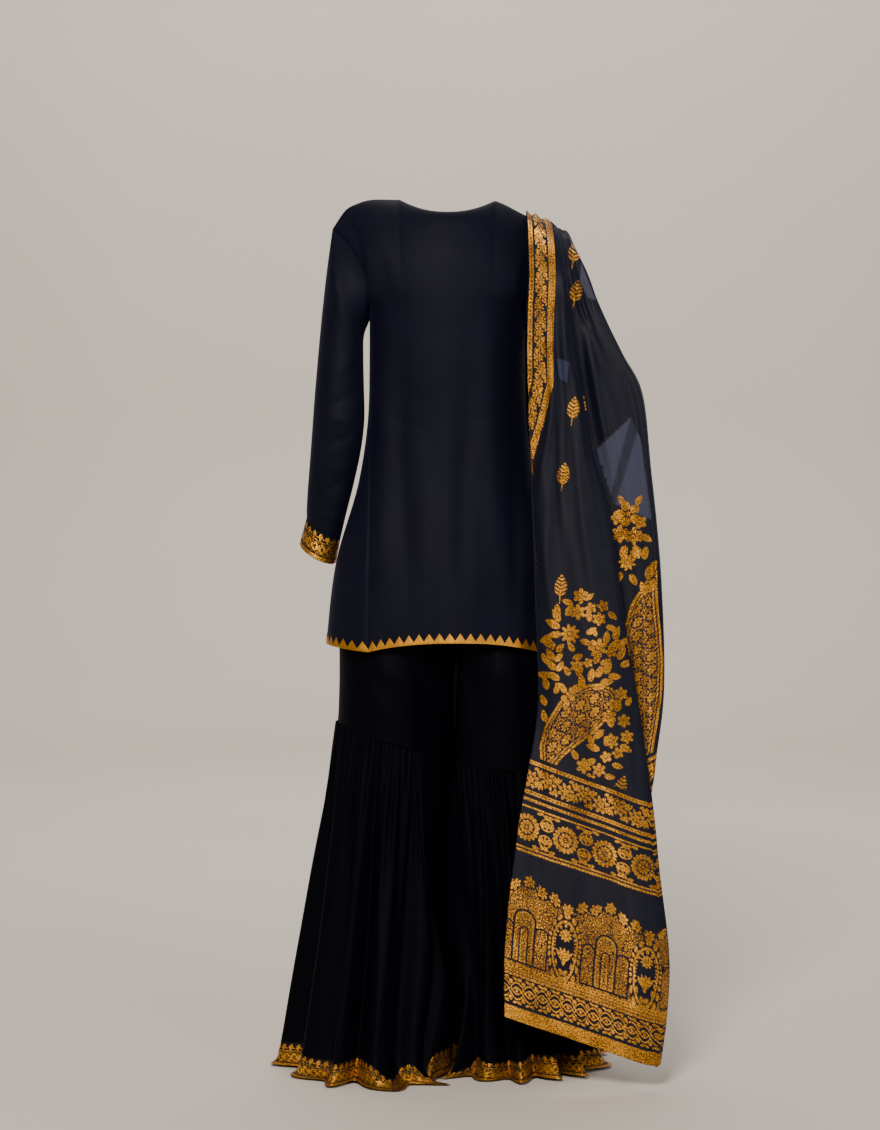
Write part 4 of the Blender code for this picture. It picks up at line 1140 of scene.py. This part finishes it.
# %% Butis, flowers and leaves of the field
BUTIS = table("px py angle", (
    (573, 250, 80), (574, 290, 78), (572, 407, 82), (562, 473, 82), (560, 585, 85), (617, 785, 70),
))
SPRAY_FLOWERS = table("px py radius petals", (
    (581, 596, 8, 6), (578, 612, 8, 6), (591, 608, 6, 5), (603, 606, 6, 5), (599, 619, 7, 6),
    (570, 634, 10, 9), (598, 648, 10, 7), (577, 666, 7, 6), (588, 663, 5, 5), (611, 652, 6, 5),
    (568, 694, 9, 4), (609, 717, 8, 6), (613, 704, 6, 5), (621, 694, 7, 6), (624, 721, 7, 6),
    (627, 737, 7, 6), (611, 741, 8, 6), (618, 753, 6, 5), (606, 757, 6, 5),
    (584, 766, 8, 6), (577, 778, 6, 5), (590, 779, 6, 5), (599, 770, 7, 6), (586, 789, 5, 5),
))
SPRAY_LEAVES = table("px py length width angle", (
    (560, 628, 17, 8, 150), (560, 622, 15, 7, 120), (562, 634, 15, 7, 185), (609, 652, 17, 8, 50),
    (612, 648, 16, 8, 20), (606, 644, 14, 7, 85), (590, 622, 13, 6, 100), (573, 604, 12, 6, 160),
    (560, 680, 16, 7, 150), (556, 670, 15, 7, 135), (554, 660, 14, 7, 125), (553, 650, 13, 6, 110),
    (557, 672, 13, 6, 60), (555, 662, 13, 6, 50), (556, 652, 12, 6, 45), (583, 688, 15, 7, 100),
    (590, 682, 15, 7, 80), (597, 678, 14, 7, 70), (604, 674, 14, 7, 55), (592, 688, 14, 7, 10),
    (600, 682, 14, 7, 0), (608, 676, 14, 7, -5), (566, 688, 13, 6, 160), (572, 690, 12, 6, 30),
    (568, 700, 11, 6, 250), (616, 712, 13, 7, 70), (604, 730, 15, 7, 220), (620, 745, 14, 7, 330),
    (600, 750, 15, 7, 160), (596, 760, 14, 7, 200), (578, 760, 13, 6, 120), (592, 790, 12, 6, 300),
    (580, 640, 13, 6, 340), (586, 634, 13, 6, 30), (583, 655, 12, 6, 200), (574, 652, 12, 6, 120),
    (558, 618, 15, 7, 95), (566, 616, 14, 7, 60), (552, 636, 14, 7, 205), (556, 646, 14, 7, 165),
    (548, 664, 13, 6, 120), (550, 676, 14, 7, 170), (548, 690, 14, 7, 110), (554, 694, 13, 6, 60),
    (546, 706, 13, 6, 115), (545, 722, 13, 6, 100), (618, 660, 15, 7, 60), (620, 666, 15, 7, 20),
    (614, 640, 15, 7, 70), (620, 644, 13, 6, 30), (594, 664, 13, 6, 60), (600, 664, 13, 6, 20),
    (586, 600, 11, 5, 40), (608, 612, 12, 6, 320), (606, 626, 13, 6, 340), (592, 628, 11, 5, 300),
    (577, 676, 12, 6, 60), (570, 676, 12, 6, 120), (612, 728, 12, 6, 100), (626, 706, 11, 6, 60),
    (603, 742, 12, 6, 30), (612, 764, 12, 6, 340), (592, 746, 12, 6, 100), (604, 776, 12, 6, 350),
))
OUTER_FLOWERS = table("px py radius petals", (
    (628, 514, 13, 5), (620, 534, 9, 6), (634, 536, 9, 6), (640, 522, 7, 5), (617, 518, 7, 5),
    (627, 562, 9, 9), (636, 552, 6, 5), (633, 716, 10, 7), (652, 586, 6, 5),
))
OUTER_LEAVES = table("px py length width angle", (
    (626, 545, 15, 8, 250), (634, 545, 15, 8, 290), (641, 535, 13, 7, 330), (646, 596, 16, 7, 110),
    (650, 592, 15, 7, 70), (648, 580, 14, 6, 90), (622, 572, 14, 7, 240), (630, 574, 14, 7, 300),
    (644, 560, 15, 7, 80), (650, 572, 14, 7, 60), (624, 505, 12, 6, 120), (636, 505, 12, 6, 60),
))
PAISLEY_SPINE = table("px py radius", (
    (546, 777, 2), (548, 764, 8), (553, 748, 14), (563, 732, 20), (578, 716, 24), (594, 704, 21),
    (606, 698, 12),
))
OUTER_PAISLEY = table("px py radius", (
    (655, 572, 3), (650, 588, 8), (644, 610, 15), (642, 636, 20), (642, 662, 22), (642, 690, 21),
    (642, 718, 17), (644, 742, 11), (648, 766, 4),
))


def along_spine(px, py, spine):
    """The distance to a curved shape, as round spots in a row along its spine."""
    share = np.linspace(0, 1, len(spine["px"]))
    found = np.full(px.shape, 1.0)
    for at in np.linspace(0, 1, SPINE_SPOTS):
        x, y, radius = (np.interp(at, share, spine[name]) for name in ("px", "py", "radius"))
        found = np.minimum(found, (np.hypot(px - x, py - y) - radius) * FIGURE_PIXEL)
    return found


def sprays(px, py, flower_rows, leaf_rows):
    """Flowers and leaves that are placed one by one."""
    found = np.full(px.shape, 1.0)
    for x, y, radius, petals in zip(*flower_rows.values()):
        place = (px - x) * FIGURE_PIXEL, (y - py) * FIGURE_PIXEL
        found = merged(found, flower(*place, radius * FIGURE_PIXEL, petals))
    for x, y, length, width, angle in zip(*leaf_rows.values()):
        place = turned((px - x) * FIGURE_PIXEL, (y - py) * FIGURE_PIXEL, angle)
        found = merged(found, leaf(*place, length * FIGURE_PIXEL, width * FIGURE_PIXEL, 0.0008))
    return found


def filled_paisley(px, py, spine):
    """A paisley with a gold edge and a row of pearls, and a heart of flowers on curls. Gives the
    gold and the ground."""
    inside = along_spine(px, py, spine)
    x, y = px * FIGURE_PIXEL, py * FIGURE_PIXEL
    place = repeat(x + 0.006, 0.0235), repeat(y + 0.5 * x, 0.0225)
    blooms, around = flower(*place, 0.0090, 8), disc(*place, 0.0102)
    pearls = disc(repeat(x + 0.7 * y, 0.0056) * 0.82, inside + 0.0085, 0.0018)
    gold = merged(pearls, np.abs(inside + 0.0030) - 0.0020)
    gold = np.where(inside < -0.0115, blooms, gold)
    return gold, cut(inside + 0.0115, around)


# %% The whole scarf's figures
LONG_BORDER, ARCHES_FROM = 0.046, 0.0825
# The places across the scarf where the front layer ends, and between which the second one shows.
FRONT_LAYER, SECOND_LAYER = 0.43, (0.55, 0.86)


def long_border(u, v):
    """The border of the long edge: a stitched stripe on each side of a vine of roses."""
    left = rope(v, u - 0.0008, 0.0078, 0.0072)
    vine = rose_vine(v, u - 0.0095, 0.0245, 0.0215)
    right = merged(rope(v, u - 0.0345, 0.0052, 0.0062), rope(v, u - 0.0405, 0.0052, 0.0062))
    return merged(left, vine, right)


def end_bands(u, v):
    """The end of the scarf, from its plain gold edge up to the first cross band."""
    panel, ground = arch_panel(u + 0.055, v - ARCHES_FROM, 0.163, 0.140)
    gold = merged(
        line(v, 0.0115, 0.0220),
        plait(u, v - 0.0270, 0.0425, 0.0440),
        rope(u, v - 0.0712, 0.0042, 0.0062), rope(u, v - 0.0768, 0.0042, 0.0062),
        np.where(v > ARCHES_FROM, panel, 1.0),
        rope(u, v - 0.2750, 0.0046, 0.0062), line(v, 0.2835, 0.0026),
        rosette_scroll(u, v - 0.2860, 0.0610, 0.0680),
        line(v, 0.3495, 0.0026), rope(u, v - 0.3585, 0.0046, 0.0062),
        rope(u, v - 0.3690, 0.0066, 0.0066), rope(u, v - 0.4185, 0.0066, 0.0066),
        rose_vine(u, v - 0.3770, 0.0405, 0.0310),
    )
    return gold, np.where(v > ARCHES_FROM, ground, 1.0)


def field_figures(points, across, u, v):
    """The gold and the ground of the scarf above its end panel."""
    px, py = picture_place(points)
    front = across < FRONT_LAYER
    second = (across > SECOND_LAYER[0]) & (across < SECOND_LAYER[1])
    boteh, curls = filled_paisley(px, py, PAISLEY_SPINE)
    spray = sprays(px, py, SPRAY_FLOWERS, SPRAY_LEAVES)
    figures = merged(spray, cut(boteh, spray - FIGURE_GAP))
    butis = np.full(px.shape, 1.0)
    for x, y, angle in zip(*BUTIS.values()):
        place = turned((px - x) * FIGURE_PIXEL, (y + 12 - py) * FIGURE_PIXEL, angle)
        butis = merged(butis, ribbed_leaf(*place, 0.038, 0.021, 6))
    figures = merged(figures, butis)
    outer_boteh, outer_curls = filled_paisley(px, py, OUTER_PAISLEY)
    outer = sprays(px, py, OUTER_FLOWERS, OUTER_LEAVES)
    outer_curls = cut(outer_curls, outer - FIGURE_GAP)
    outer = merged(outer, butis, cut(outer_boteh, outer - FIGURE_GAP))
    hidden = ribbed_leaf(repeat(v, 0.130), repeat(u, 0.11), 0.040, 0.022, 6)
    gold = np.where(front, figures, np.where(second, outer, hidden))
    ground = np.where(front, cut(curls, spray - FIGURE_GAP), np.where(second, outer_curls, 1.0))
    at_edge = u < LONG_BORDER
    return np.where(at_edge, long_border(u, v), gold), np.where(at_edge, 1.0, ground)


# %% [markdown]
# ### How sheer the scarf is
# One layer of organza is sheer, and the folded scarf mostly hangs two to four layers deep. The
# layers that lie flat together are drawn as one, which is nearly opaque. Three places show a single
# layer: the patch under the elbow, and two slits beside the shoulder.

# %% Single layers
SINGLE_LAYERS = (
    ((597, 449), (631, 417), (641, 440), (652, 520), (613, 503)),
    ((581, 262), (596, 300), (588, 298), (580, 280)),
    ((557, 358), (569, 362), (567, 383), (559, 378)),
)
# A strip across the elbow patch counts as only a share of a single layer, so it is drawn darker and less
# sheer than the rest of the patch.
DARKER_STRIP, DARKER_STRIP_SHARE = ((631, 417), (640, 424), (615, 505), (609, 500)), 0.35


def inside_shape(px, py, corners):
    """Whether a place lies inside a shape with straight sides."""
    found = np.zeros(px.shape, bool)
    for (x1, y1), (x2, y2) in zip(corners, corners[1:] + corners[:1]):
        crosses = (y1 > py) != (y2 > py)
        found ^= crosses & (px < (x2 - x1) * (py - y1) / (y2 - y1 + 1e-9) + x1)
    return found


def layers_deep(points, across):
    """1 where one layer hangs alone, and 0 where several lie together."""
    px, py = picture_place(points)
    alone = np.zeros(px.shape, bool)
    for corners in SINGLE_LAYERS:
        alone |= inside_shape(px, py, corners)
    share = np.where(inside_shape(px, py, DARKER_STRIP), DARKER_STRIP_SHARE, 1.0)
    return share * alone * (across < SECOND_LAYER[1])


panel_gold, panel_ground = end_bands(panel_u, panel_v)
print("gold share of the end:", round(float(np.mean((panel_gold < 0) | (panel_ground < 0))), 2))

# %% Sew the scarf down the back


def field_piece(name, points, u, v):
    _, across = grid(np.zeros(len(points)), FIELD_ACROSS)
    gold, ground = field_figures(points, across, u, v)
    print("gold share:", round(float(np.mean(gold < 0)), 2))
    return sew(name, points, gold=gold, ground=ground, single=layers_deep(points, across))


scarf_upper = field_piece("scarf_back_upper", upper_points, upper_u, upper_v)
scarf_lower = field_piece("scarf_back_lower", lower_points, lower_u, lower_v)
scarf_end = sew("scarf_back_end", panel_points, gold=panel_gold, ground=panel_ground, single=0.0)

# %% Sew the scarf down the front
FRONT_COLUMNS = 130


def front_piece(points):
    u, drop = steps_between(points, 1), steps_between(points, 0)
    v = drop[-1:] - drop
    gold, ground = end_bands(u, v)
    edge = u[:, -1:] - u
    plain = np.where(edge < LONG_BORDER, long_border(edge, v), 1.0)
    gold, ground = np.where(v < END_PANEL, gold, plain), np.where(v < END_PANEL, ground, 1.0)
    return sew("scarf_front_fall", points, gold=gold, ground=ground, single=0.0)


scarf_front = front_piece(front_fall(FRONT_COLUMNS))

# %% [markdown]
# ## Cuffs, hem borders and the tunic's edging
# The cuffs and the trouser hems carry the same woven band. It is drawn 52 mm deep and fitted to each
# tube, where it measures about 45 mm, and its figures repeat a whole number of times round it. The
# tunic's hem has a strip of gold triangles, laid on the cloth.


# %% Sew the cuffs and hem borders
BAND_REPEAT = 0.0272


def small_border(x, y, height):
    """The band from its lower edge: a stitched stripe, a flowery ground, a line and spades."""
    ground_y = y - 0.0105
    small_x, between_x = repeat(x, BAND_REPEAT / 2), repeat(x, BAND_REPEAT / 2, BAND_REPEAT / 4)
    blooms = merged(
        flower(repeat(x, BAND_REPEAT), ground_y - 0.0125, 0.0066, 7),
        flower(repeat(x, BAND_REPEAT, BAND_REPEAT / 2), ground_y - 0.0125, 0.0050, 6),
        flower(between_x, ground_y - 0.0045, 0.0034, 5),
        flower(between_x, ground_y - 0.0205, 0.0034, 5),
        leaves(small_x, ground_y - 0.0125, (50, 130, -50, -130), 0.0115, 0.0036),
    )
    blooms = np.maximum(blooms, np.maximum(-ground_y, ground_y - 0.0248))
    stripe = rope(x, y - 0.0006, 0.0080, BAND_REPEAT / 5)
    spades = spade_row(x, y - 0.0385, height - 0.0385, BAND_REPEAT / 2)
    gold = merged(stripe, blooms, line(y, 0.0370, 0.0018), spades)
    return gold, cut(np.abs(ground_y - 0.0124) - 0.0124, blooms - 0.0008)


def round_band(name, points, thick=0.0):
    """A woven band round a tube, from its upper ring down to its open edge."""
    round_it = steps_between(points, 1, True)
    length = round_it[:, -1].mean()
    turn = round_it[:, :-1] / round_it[:, -1:]
    x = turn * BAND_REPEAT * round(length / BAND_REPEAT)
    down = steps_between(points, 0)
    y = down[-1:] - down
    gold, ground = small_border(x, y / down[-1].mean() * HEM_BORDER, HEM_BORDER)
    return sew(name, points, True, thick, gold=gold, ground=ground, single=0.0)


cuff_left = round_band("tunic_cuff_left", cuff_rings(CUFF_LEFT, -1), CREPE)
cuff_right = round_band("tunic_cuff_right", cuff_rings(CUFF_RIGHT, 1), CREPE)
border_along = np.linspace(BORDER_START, 1, BORDER_ROWS)
border_left = round_band("trouser_hem_left", leg_points(-1, border_along, BORDER_COLUMNS))
border_right = round_band("trouser_hem_right", leg_points(1, border_along, BORDER_COLUMNS))

# %% Sew the edging of triangles
TEETH_BACK, TEETH_FRONT, EDGE_HEIGHT, TOOTH_HEIGHT = 18, 42, 0.0035, 0.0125
TRIM_LIFT, TOOTH_STEPS, TOOTH_CLEAR = 0.0007, 8, 0.0005


def hem_edging(name, back, teeth):
    """A strip of triangles along the hem, just clear of the cloth."""
    across = np.linspace(-1, 1, teeth * TOOTH_STEPS + 1)
    tooth = 1 - np.abs((np.arange(len(across)) % TOOTH_STEPS) / (TOOTH_STEPS / 2) - 1)
    heights = np.stack([0 * tooth, 0 * tooth + EDGE_HEIGHT, EDGE_HEIGHT + TOOTH_CLEAR + TOOTH_HEIGHT * tooth])
    down = 1 - heights[::-1] / (UNDERARM_Z - HEM_CENTRE_Z)
    _, spread = grid(np.zeros(3), across if back else across[::-1])
    points = creased_panel(spread, down, back)
    return sew(name, points + out_of(points) * TRIM_LIFT)


edging_back = hem_edging("tunic_edging_back", True, TEETH_BACK)
edging_front = hem_edging("tunic_edging_front", False, TEETH_FRONT)

# %% [markdown]
# ## Materials
# Colours are written as they look on a screen and turned to the linear numbers that the shaders
# take. Each cloth's pattern runs in its own UV map, in metres, so a scale is one over a real size.


# %% Helpers for materials
def linear(code):
    """An sRGB hex colour as linear numbers."""
    parts = [int(code[i:i + 2], 16) / 255 for i in (1, 3, 5)]
    return tuple(c / 12.92 if c <= 0.04045 else ((c + 0.055) / 1.055) ** 2.4 for c in parts) + (1.0,)


def add(material, kind, inputs, **settings):
    """Adds a node. Each of its inputs takes a value, or another node's output."""
    node = material.node_tree.nodes.new(kind)
    for name, value in settings.items():
        setattr(node, name, value)
    for socket, value in inputs.items():
        if isinstance(value, bpy.types.NodeSocket):
            material.node_tree.links.new(value, node.inputs[socket])
        else:
            node.inputs[socket].default_value = value
    return node


def new_cloth(name, **values):
    """A material with values on its shader's own sockets, and its place on the cloth in metres."""
    material = bpy.data.materials.new(name)
    material.use_nodes = True
    shader = material.node_tree.nodes["Principled BSDF"]
    for socket, value in values.items():
        shader.inputs[socket.replace("_", " ")].default_value = value
    place = add(material, "ShaderNodeUVMap", {}, uv_map="cloth").outputs["UV"]
    return material, shader, place


def drive(material, shader, **sources):
    """Joins the outputs of nodes to the shader's own sockets."""
    for socket, source in sources.items():
        material.node_tree.links.new(source, shader.inputs[socket.replace("_", " ")])


# %% Helpers for the nodes used most
def field(material, name):
    """The values that a piece's points carry under a name."""
    return add(material, "ShaderNodeAttribute", {}, attribute_name=name).outputs["Fac"]


def noise(material, place, size, detail):
    """Cloudy noise with patches of about one size, in metres."""
    inputs = {"Vector": place, "Scale": 1 / size, "Detail": detail}
    return add(material, "ShaderNodeTexNoise", inputs).outputs["Fac"]


def work_out(material, operation, *values):
    return add(material, "ShaderNodeMath", dict(enumerate(values)), operation=operation).outputs[0]


def stretch(material, value, low=0.0, high=1.0, to=(0.0, 1.0)):
    """Stretches a value from low and high to the two ends of to, and keeps it between them."""
    inputs = {"Value": value, "From Min": low, "From Max": high, "To Min": to[0], "To Max": to[1]}
    return add(material, "ShaderNodeMapRange", inputs).outputs[0]


def blend(material, share, dark, light):
    """A colour between two. Each is a hex code or another node's output."""
    dark, light = (linear(c) if isinstance(c, str) else c for c in (dark, light))
    inputs = {"Factor": share, 6: dark, 7: light}
    return add(material, "ShaderNodeMix", inputs, data_type="RGBA").outputs[2]


def bump(material, height, strength, distance, **under):
    """A small relief. It can lie on another one, which is given as Normal."""
    inputs = {"Height": height, "Strength": strength, "Distance": distance, **under}
    return add(material, "ShaderNodeBump", inputs).outputs[0]


# %% [markdown]
# ### Silk crepe
# The tunic is dyed silk crepe. Its twisted yarns give a fine pebbled face that scatters light, so
# it is almost black with a soft bluish sheen at the edges of its folds. The real grain is 0.3 mm.
# It is drawn at 1.5 mm, because a finer one wouldn't show.

# %% Silk crepe
GRAIN, TONE = 0.0015, 0.09


def crepe_silk():
    material, shader, place = new_cloth(
        "navy_silk_crepe_woven", Roughness=0.62, Sheen_Weight=0.06, Sheen_Roughness=0.45,
        Sheen_Tint=linear("#6e76c0"), Specular_IOR_Level=0.09,
    )
    grain = noise(material, place, GRAIN, 2.0)
    both = work_out(material, "MULTIPLY", grain, noise(material, place, TONE, 3.0))
    drive(
        material, shader, Base_Color=blend(material, both, "#060712", "#111327"),
        Normal=bump(material, grain, 0.35, 0.0004),
    )
    return material


silk_crepe = crepe_silk()

# %% [markdown]
# ### Crushed silk
# The trousers are a thin black silk that was gathered and pressed, so fine creases run down the
# cloth. They are drawn as noise that is stretched along the cloth, about 4 mm apart.

# %% Crushed silk
CRINKLE, STRETCHED = 0.004, 0.06


def crushed_silk_cloth():
    material, shader, place = new_cloth(
        "black_silk_crushed_by_pressing", Roughness=0.55, Sheen_Weight=0.01, Sheen_Roughness=0.4,
        Sheen_Tint=linear("#6a72b4"), Specular_IOR_Level=0.035,
    )
    long_place = add(material, "ShaderNodeMapping", {"Vector": place, "Scale": (1.0, STRETCHED, 1.0)})
    crinkle = add(
        material, "ShaderNodeTexNoise",
        {"Vector": long_place.outputs[0], "Scale": 1 / CRINKLE, "Detail": 3.0, "Roughness": 0.6},
    ).outputs["Fac"]
    deep = bump(material, crinkle, 0.5, 0.0014)
    drive(
        material, shader, Base_Color=blend(material, crinkle, "#020206", "#06060f"),
        Normal=bump(material, noise(material, place, GRAIN, 1.0), 0.3, 0.0003, Normal=deep),
    )
    return material


crushed_silk = crushed_silk_cloth()

# %% [markdown]
# ### Organza and zari
# The scarf is sheer silk organza with zari, a flat metal ribbon wound on thread, woven into it.
# What lies behind the scarf is nearly all dark, so the light that would shine through a single
# layer is painted: a single layer is drawn in a paler colour, and lets only 3 percent of the light
# through. Zari is a metal, so it takes its colour from what it reflects. Its threads lie across the
# cloth, 0.3 mm apart, and are drawn 2 mm apart, which breaks the gold up as the real weave does.
# The curls that fill a ground are cells about 4 mm across, with dark silk between them.

# %% Organza and dark silk with zari
THREAD, EDGE, FRAY = 0.0020, 0.00035, 0.0009
CURL, CURL_SWAY = 0.0040, 0.009
# Sizes of noise: the silk's tone, and the fine and broad patches that make the gold darker or brighter,
# partly wear and partly painted glints and painted shade.
SILK_TONE, WEAR_AND_GLINT_GRAIN, RUB_AND_GLINT_PATCH = 0.03, 0.0024, 0.045
ONE_LAYER, SEVERAL_LAYERS = 0.97, 0.997
# Blender's wave texture makes 20 waves in a length of two pi at a scale of one.
WAVES_PER_SCALE = 20


def zari_figures(material, place, wear_and_glints, curl_edges):
    """How much gold shows: the drawn figures, and the curls where a ground is filled with them."""
    fray = work_out(material, "ADD", wear_and_glints, -0.5)
    masks = []
    for name in ("gold", "ground"):
        frayed = work_out(material, "MULTIPLY_ADD", fray, FRAY, field(material, name))
        masks.append(stretch(material, frayed, EDGE, -EDGE))
    sway = add(material, "ShaderNodeTexNoise", {"Vector": place, "Scale": 1 / CURL_SWAY, "Detail": 1.0})
    nudged = add(
        material, "ShaderNodeVectorMath", {0: sway.outputs["Color"], 1: (CURL,) * 3, 2: place},
        operation="MULTIPLY_ADD",
    )
    cells = add(
        material, "ShaderNodeTexVoronoi", {"Vector": nudged.outputs[0], "Scale": 1 / CURL},
        feature="DISTANCE_TO_EDGE",
    )
    curls = stretch(material, cells.outputs["Distance"], *curl_edges)
    drawn = work_out(material, "MAXIMUM", masks[0], work_out(material, "MULTIPLY", curls, masks[1]))
    return work_out(material, "MULTIPLY", drawn, stretch(material, wear_and_glints, 0.34, 0.43))


def silk_with_zari(name, dark, light, sheen, sheer, curl_edges):
    material, shader, place = new_cloth(
        name, Sheen_Weight=sheen, Sheen_Roughness=0.4, Sheen_Tint=linear("#6f7cd0"),
        Specular_IOR_Level=0.16,
    )
    wear_and_glints = noise(material, place, WEAR_AND_GLINT_GRAIN, 2.0)
    gold = zari_figures(material, place, wear_and_glints, curl_edges)
    silk = blend(material, noise(material, place, SILK_TONE, 3.0), dark, light)
    # Painted glints and painted shade: the metal's colour runs from dark to bright gold by noise, together
    # with its wear.
    wear_and_glint_patches = work_out(material, "MULTIPLY_ADD", noise(material, place, RUB_AND_GLINT_PATCH, 4.0), 0.4, wear_and_glints)
    metal = blend(material, stretch(material, wear_and_glint_patches, 0.56, 0.82), "#643a0a", "#ffb437")
    if sheer:
        alone = field(material, "single")
        # Painted light: where one layer hangs alone it is drawn paler, for the light shining through it.
        silk = blend(material, alone, silk, "#262a42")
        cover = stretch(material, alone, to=(SEVERAL_LAYERS, ONE_LAYER))
        drive(material, shader, Alpha=work_out(material, "MAXIMUM", cover, gold))
    threads = add(
        material, "ShaderNodeTexWave",
        {
            "Vector": place, "Scale": 2 * math.pi / THREAD / WAVES_PER_SCALE,
            "Distortion": 1.5, "Detail Scale": 2.0,
        },
        bands_direction="Y",
    )
    raised = work_out(material, "MULTIPLY", gold, threads.outputs["Fac"])
    drive(
        material, shader, Base_Color=blend(material, gold, silk, metal),
        Metallic=stretch(material, gold, to=(0.0, 0.92)),
        Roughness=stretch(material, gold, to=(0.58, 0.34)),
        Normal=bump(material, raised, 0.7, 0.0008),
    )
    return material


organza = silk_with_zari("navy_silk_organza_with_zari", "#070812", "#101223", 0.08, True, (0.05, 0.16))
dark_band = silk_with_zari("black_silk_band_with_zari", "#040407", "#08090f", 0.02, False, (0.085, 0.045))

# %% [markdown]
# ### Gold ribbon
# The triangles along the tunic's hem are cut from a ribbon that is zari all over.


# %% Gold ribbon
def zari_ribbon():
    material, shader, place = new_cloth("woven_zari_ribbon", Metallic=0.9, Roughness=0.40)
    # Painted glints and painted shade: the ribbon's gold runs from dark to bright by noise, together with its
    # wear.
    wear_and_glints = noise(material, place, 0.003, 2.0)
    drive(
        material, shader, Base_Color=blend(material, wear_and_glints, "#8f5a14", "#ffb43a"),
        Normal=bump(material, wear_and_glints, 0.4, 0.0005),
    )
    return material


gold_ribbon = zari_ribbon()
print("materials:", [m.name for m in bpy.data.materials])

# %% [markdown]
# ## Dressing the frame
# Each piece rides on the suit's one body and stands for its solid, which is hidden. Its area in
# square metres is printed.

# %% Dress the frame
CUTS = (
    (tunic_back, silk_crepe, "navy_silk_crepe", ("kurta_back",)),
    (tunic_front, silk_crepe, "navy_silk_crepe", ("kurta_front",)),
    (sleeve_left, silk_crepe, "navy_silk_crepe", ("kurta_sleeve_left",)),
    (sleeve_right, silk_crepe, "navy_silk_crepe", ("kurta_sleeve_right",)),
    (cuff_left, dark_band, "gold_zari_weave", ("kurta_cuff_left",)),
    (cuff_right, dark_band, "gold_zari_weave", ("kurta_cuff_right",)),
    (edging_back, gold_ribbon, "gold_zari_weave", ("kurta_hem_trim_back",)),
    (edging_front, gold_ribbon, "gold_zari_weave", ("kurta_hem_trim_front",)),
    (band, crushed_silk, "black_crushed_silk", ("gharara_waistband",)),
    (thighs[0], crushed_silk, "black_crushed_silk", ("gharara_thigh_left",)),
    (thighs[1], crushed_silk, "black_crushed_silk", ("gharara_thigh_right",)),
    (legs[0], crushed_silk, "black_crushed_silk", ("gharara_flare_left",)),
    (legs[1], crushed_silk, "black_crushed_silk", ("gharara_flare_right",)),
    (border_left, dark_band, "gold_zari_weave", ("gharara_hem_border_left",)),
    (border_right, dark_band, "gold_zari_weave", ("gharara_hem_border_right",)),
    (scarf_upper, organza, "navy_silk_organza", ("dupatta_back_fall",)),
    (scarf_lower, organza, "navy_silk_organza", ("dupatta_back_fall",)),
    (scarf_end, organza, "navy_silk_organza", ("dupatta_back_fall",)),
    (scarf_front, organza, "navy_silk_organza", ("dupatta_front_fall",)),
)
for piece, material, slot, nodes in CUTS:
    piece.data.materials.append(material)
    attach(piece, "root")
    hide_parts(*nodes)
    area = sum(face.area for face in piece.data.polygons)
    print(f"{piece.name}: {area:.4f} square metres")

# %% [markdown]
# ## Studio
# The picture's light comes from above and in front, a little from the left, and the rest is soft.
# The floor and backdrop are one pale sheet that curves up behind the suit.

# %% Stage and lights
FLOOR_LEVEL = cad_box[0][2] - 0.001
CURVE_RADIUS, CURVE_START, SHEET_HALF, SHEET_TOP = 1.2, 5.0, 9.0, 6.0


def backdrop():
    turn = np.linspace(0, math.pi / 2, 16)
    end = CURVE_START + CURVE_RADIUS
    y = np.concatenate([[-SHEET_HALF], CURVE_START + CURVE_RADIUS * np.sin(turn), [end]])
    z = np.concatenate([[0.0], CURVE_RADIUS * (1 - np.cos(turn)), [SHEET_TOP]]) + FLOOR_LEVEL
    y, x = grid(y, (-SHEET_HALF, SHEET_HALF))
    return sew("studio_sheet", np.stack([x, y, np.stack([z, z], axis=-1)], axis=-1))


def studio_paper():
    material, shader, place = new_cloth("studio_paper", Roughness=0.9)
    tone = noise(material, place, 1.25, 2.0)
    drive(material, shader, Base_Color=blend(material, tone, "#cec6bd", "#d8d1c9"))
    return material


studio = backdrop()
studio.data.materials.append(studio_paper())


def soft_light(name, place, target, size, power, colour):
    lamp = bpy.data.objects.new(name, bpy.data.lights.new(name, "AREA"))
    bpy.context.scene.collection.objects.link(lamp)
    lamp.data.size, lamp.data.energy = size, power
    lamp.data.color = linear(colour)[:3]
    lamp.location = place
    lamp.rotation_euler = (Vector(target) - Vector(place)).to_track_quat("-Z", "Y").to_euler()


soft_light("key_light", (-0.7, -4.2, 1.9), (0.05, 0, -0.6), 1.1, 240, "#fff6ea")
soft_light("fill_light", (3.0, -3.6, 0.6), (0.1, 0, -0.7), 2.5, 48, "#eef1ff")
soft_light("backdrop_light", (0, 2.4, 3.6), (0, 5.6, -0.4), 3.0, 250, "#fffaf2")
world = bpy.data.worlds.new("studio_air")
bpy.context.scene.world = world
world.use_nodes = True
air = world.node_tree.nodes["Background"].inputs
air["Color"].default_value, air["Strength"].default_value = linear("#e8e4e0"), 0.31
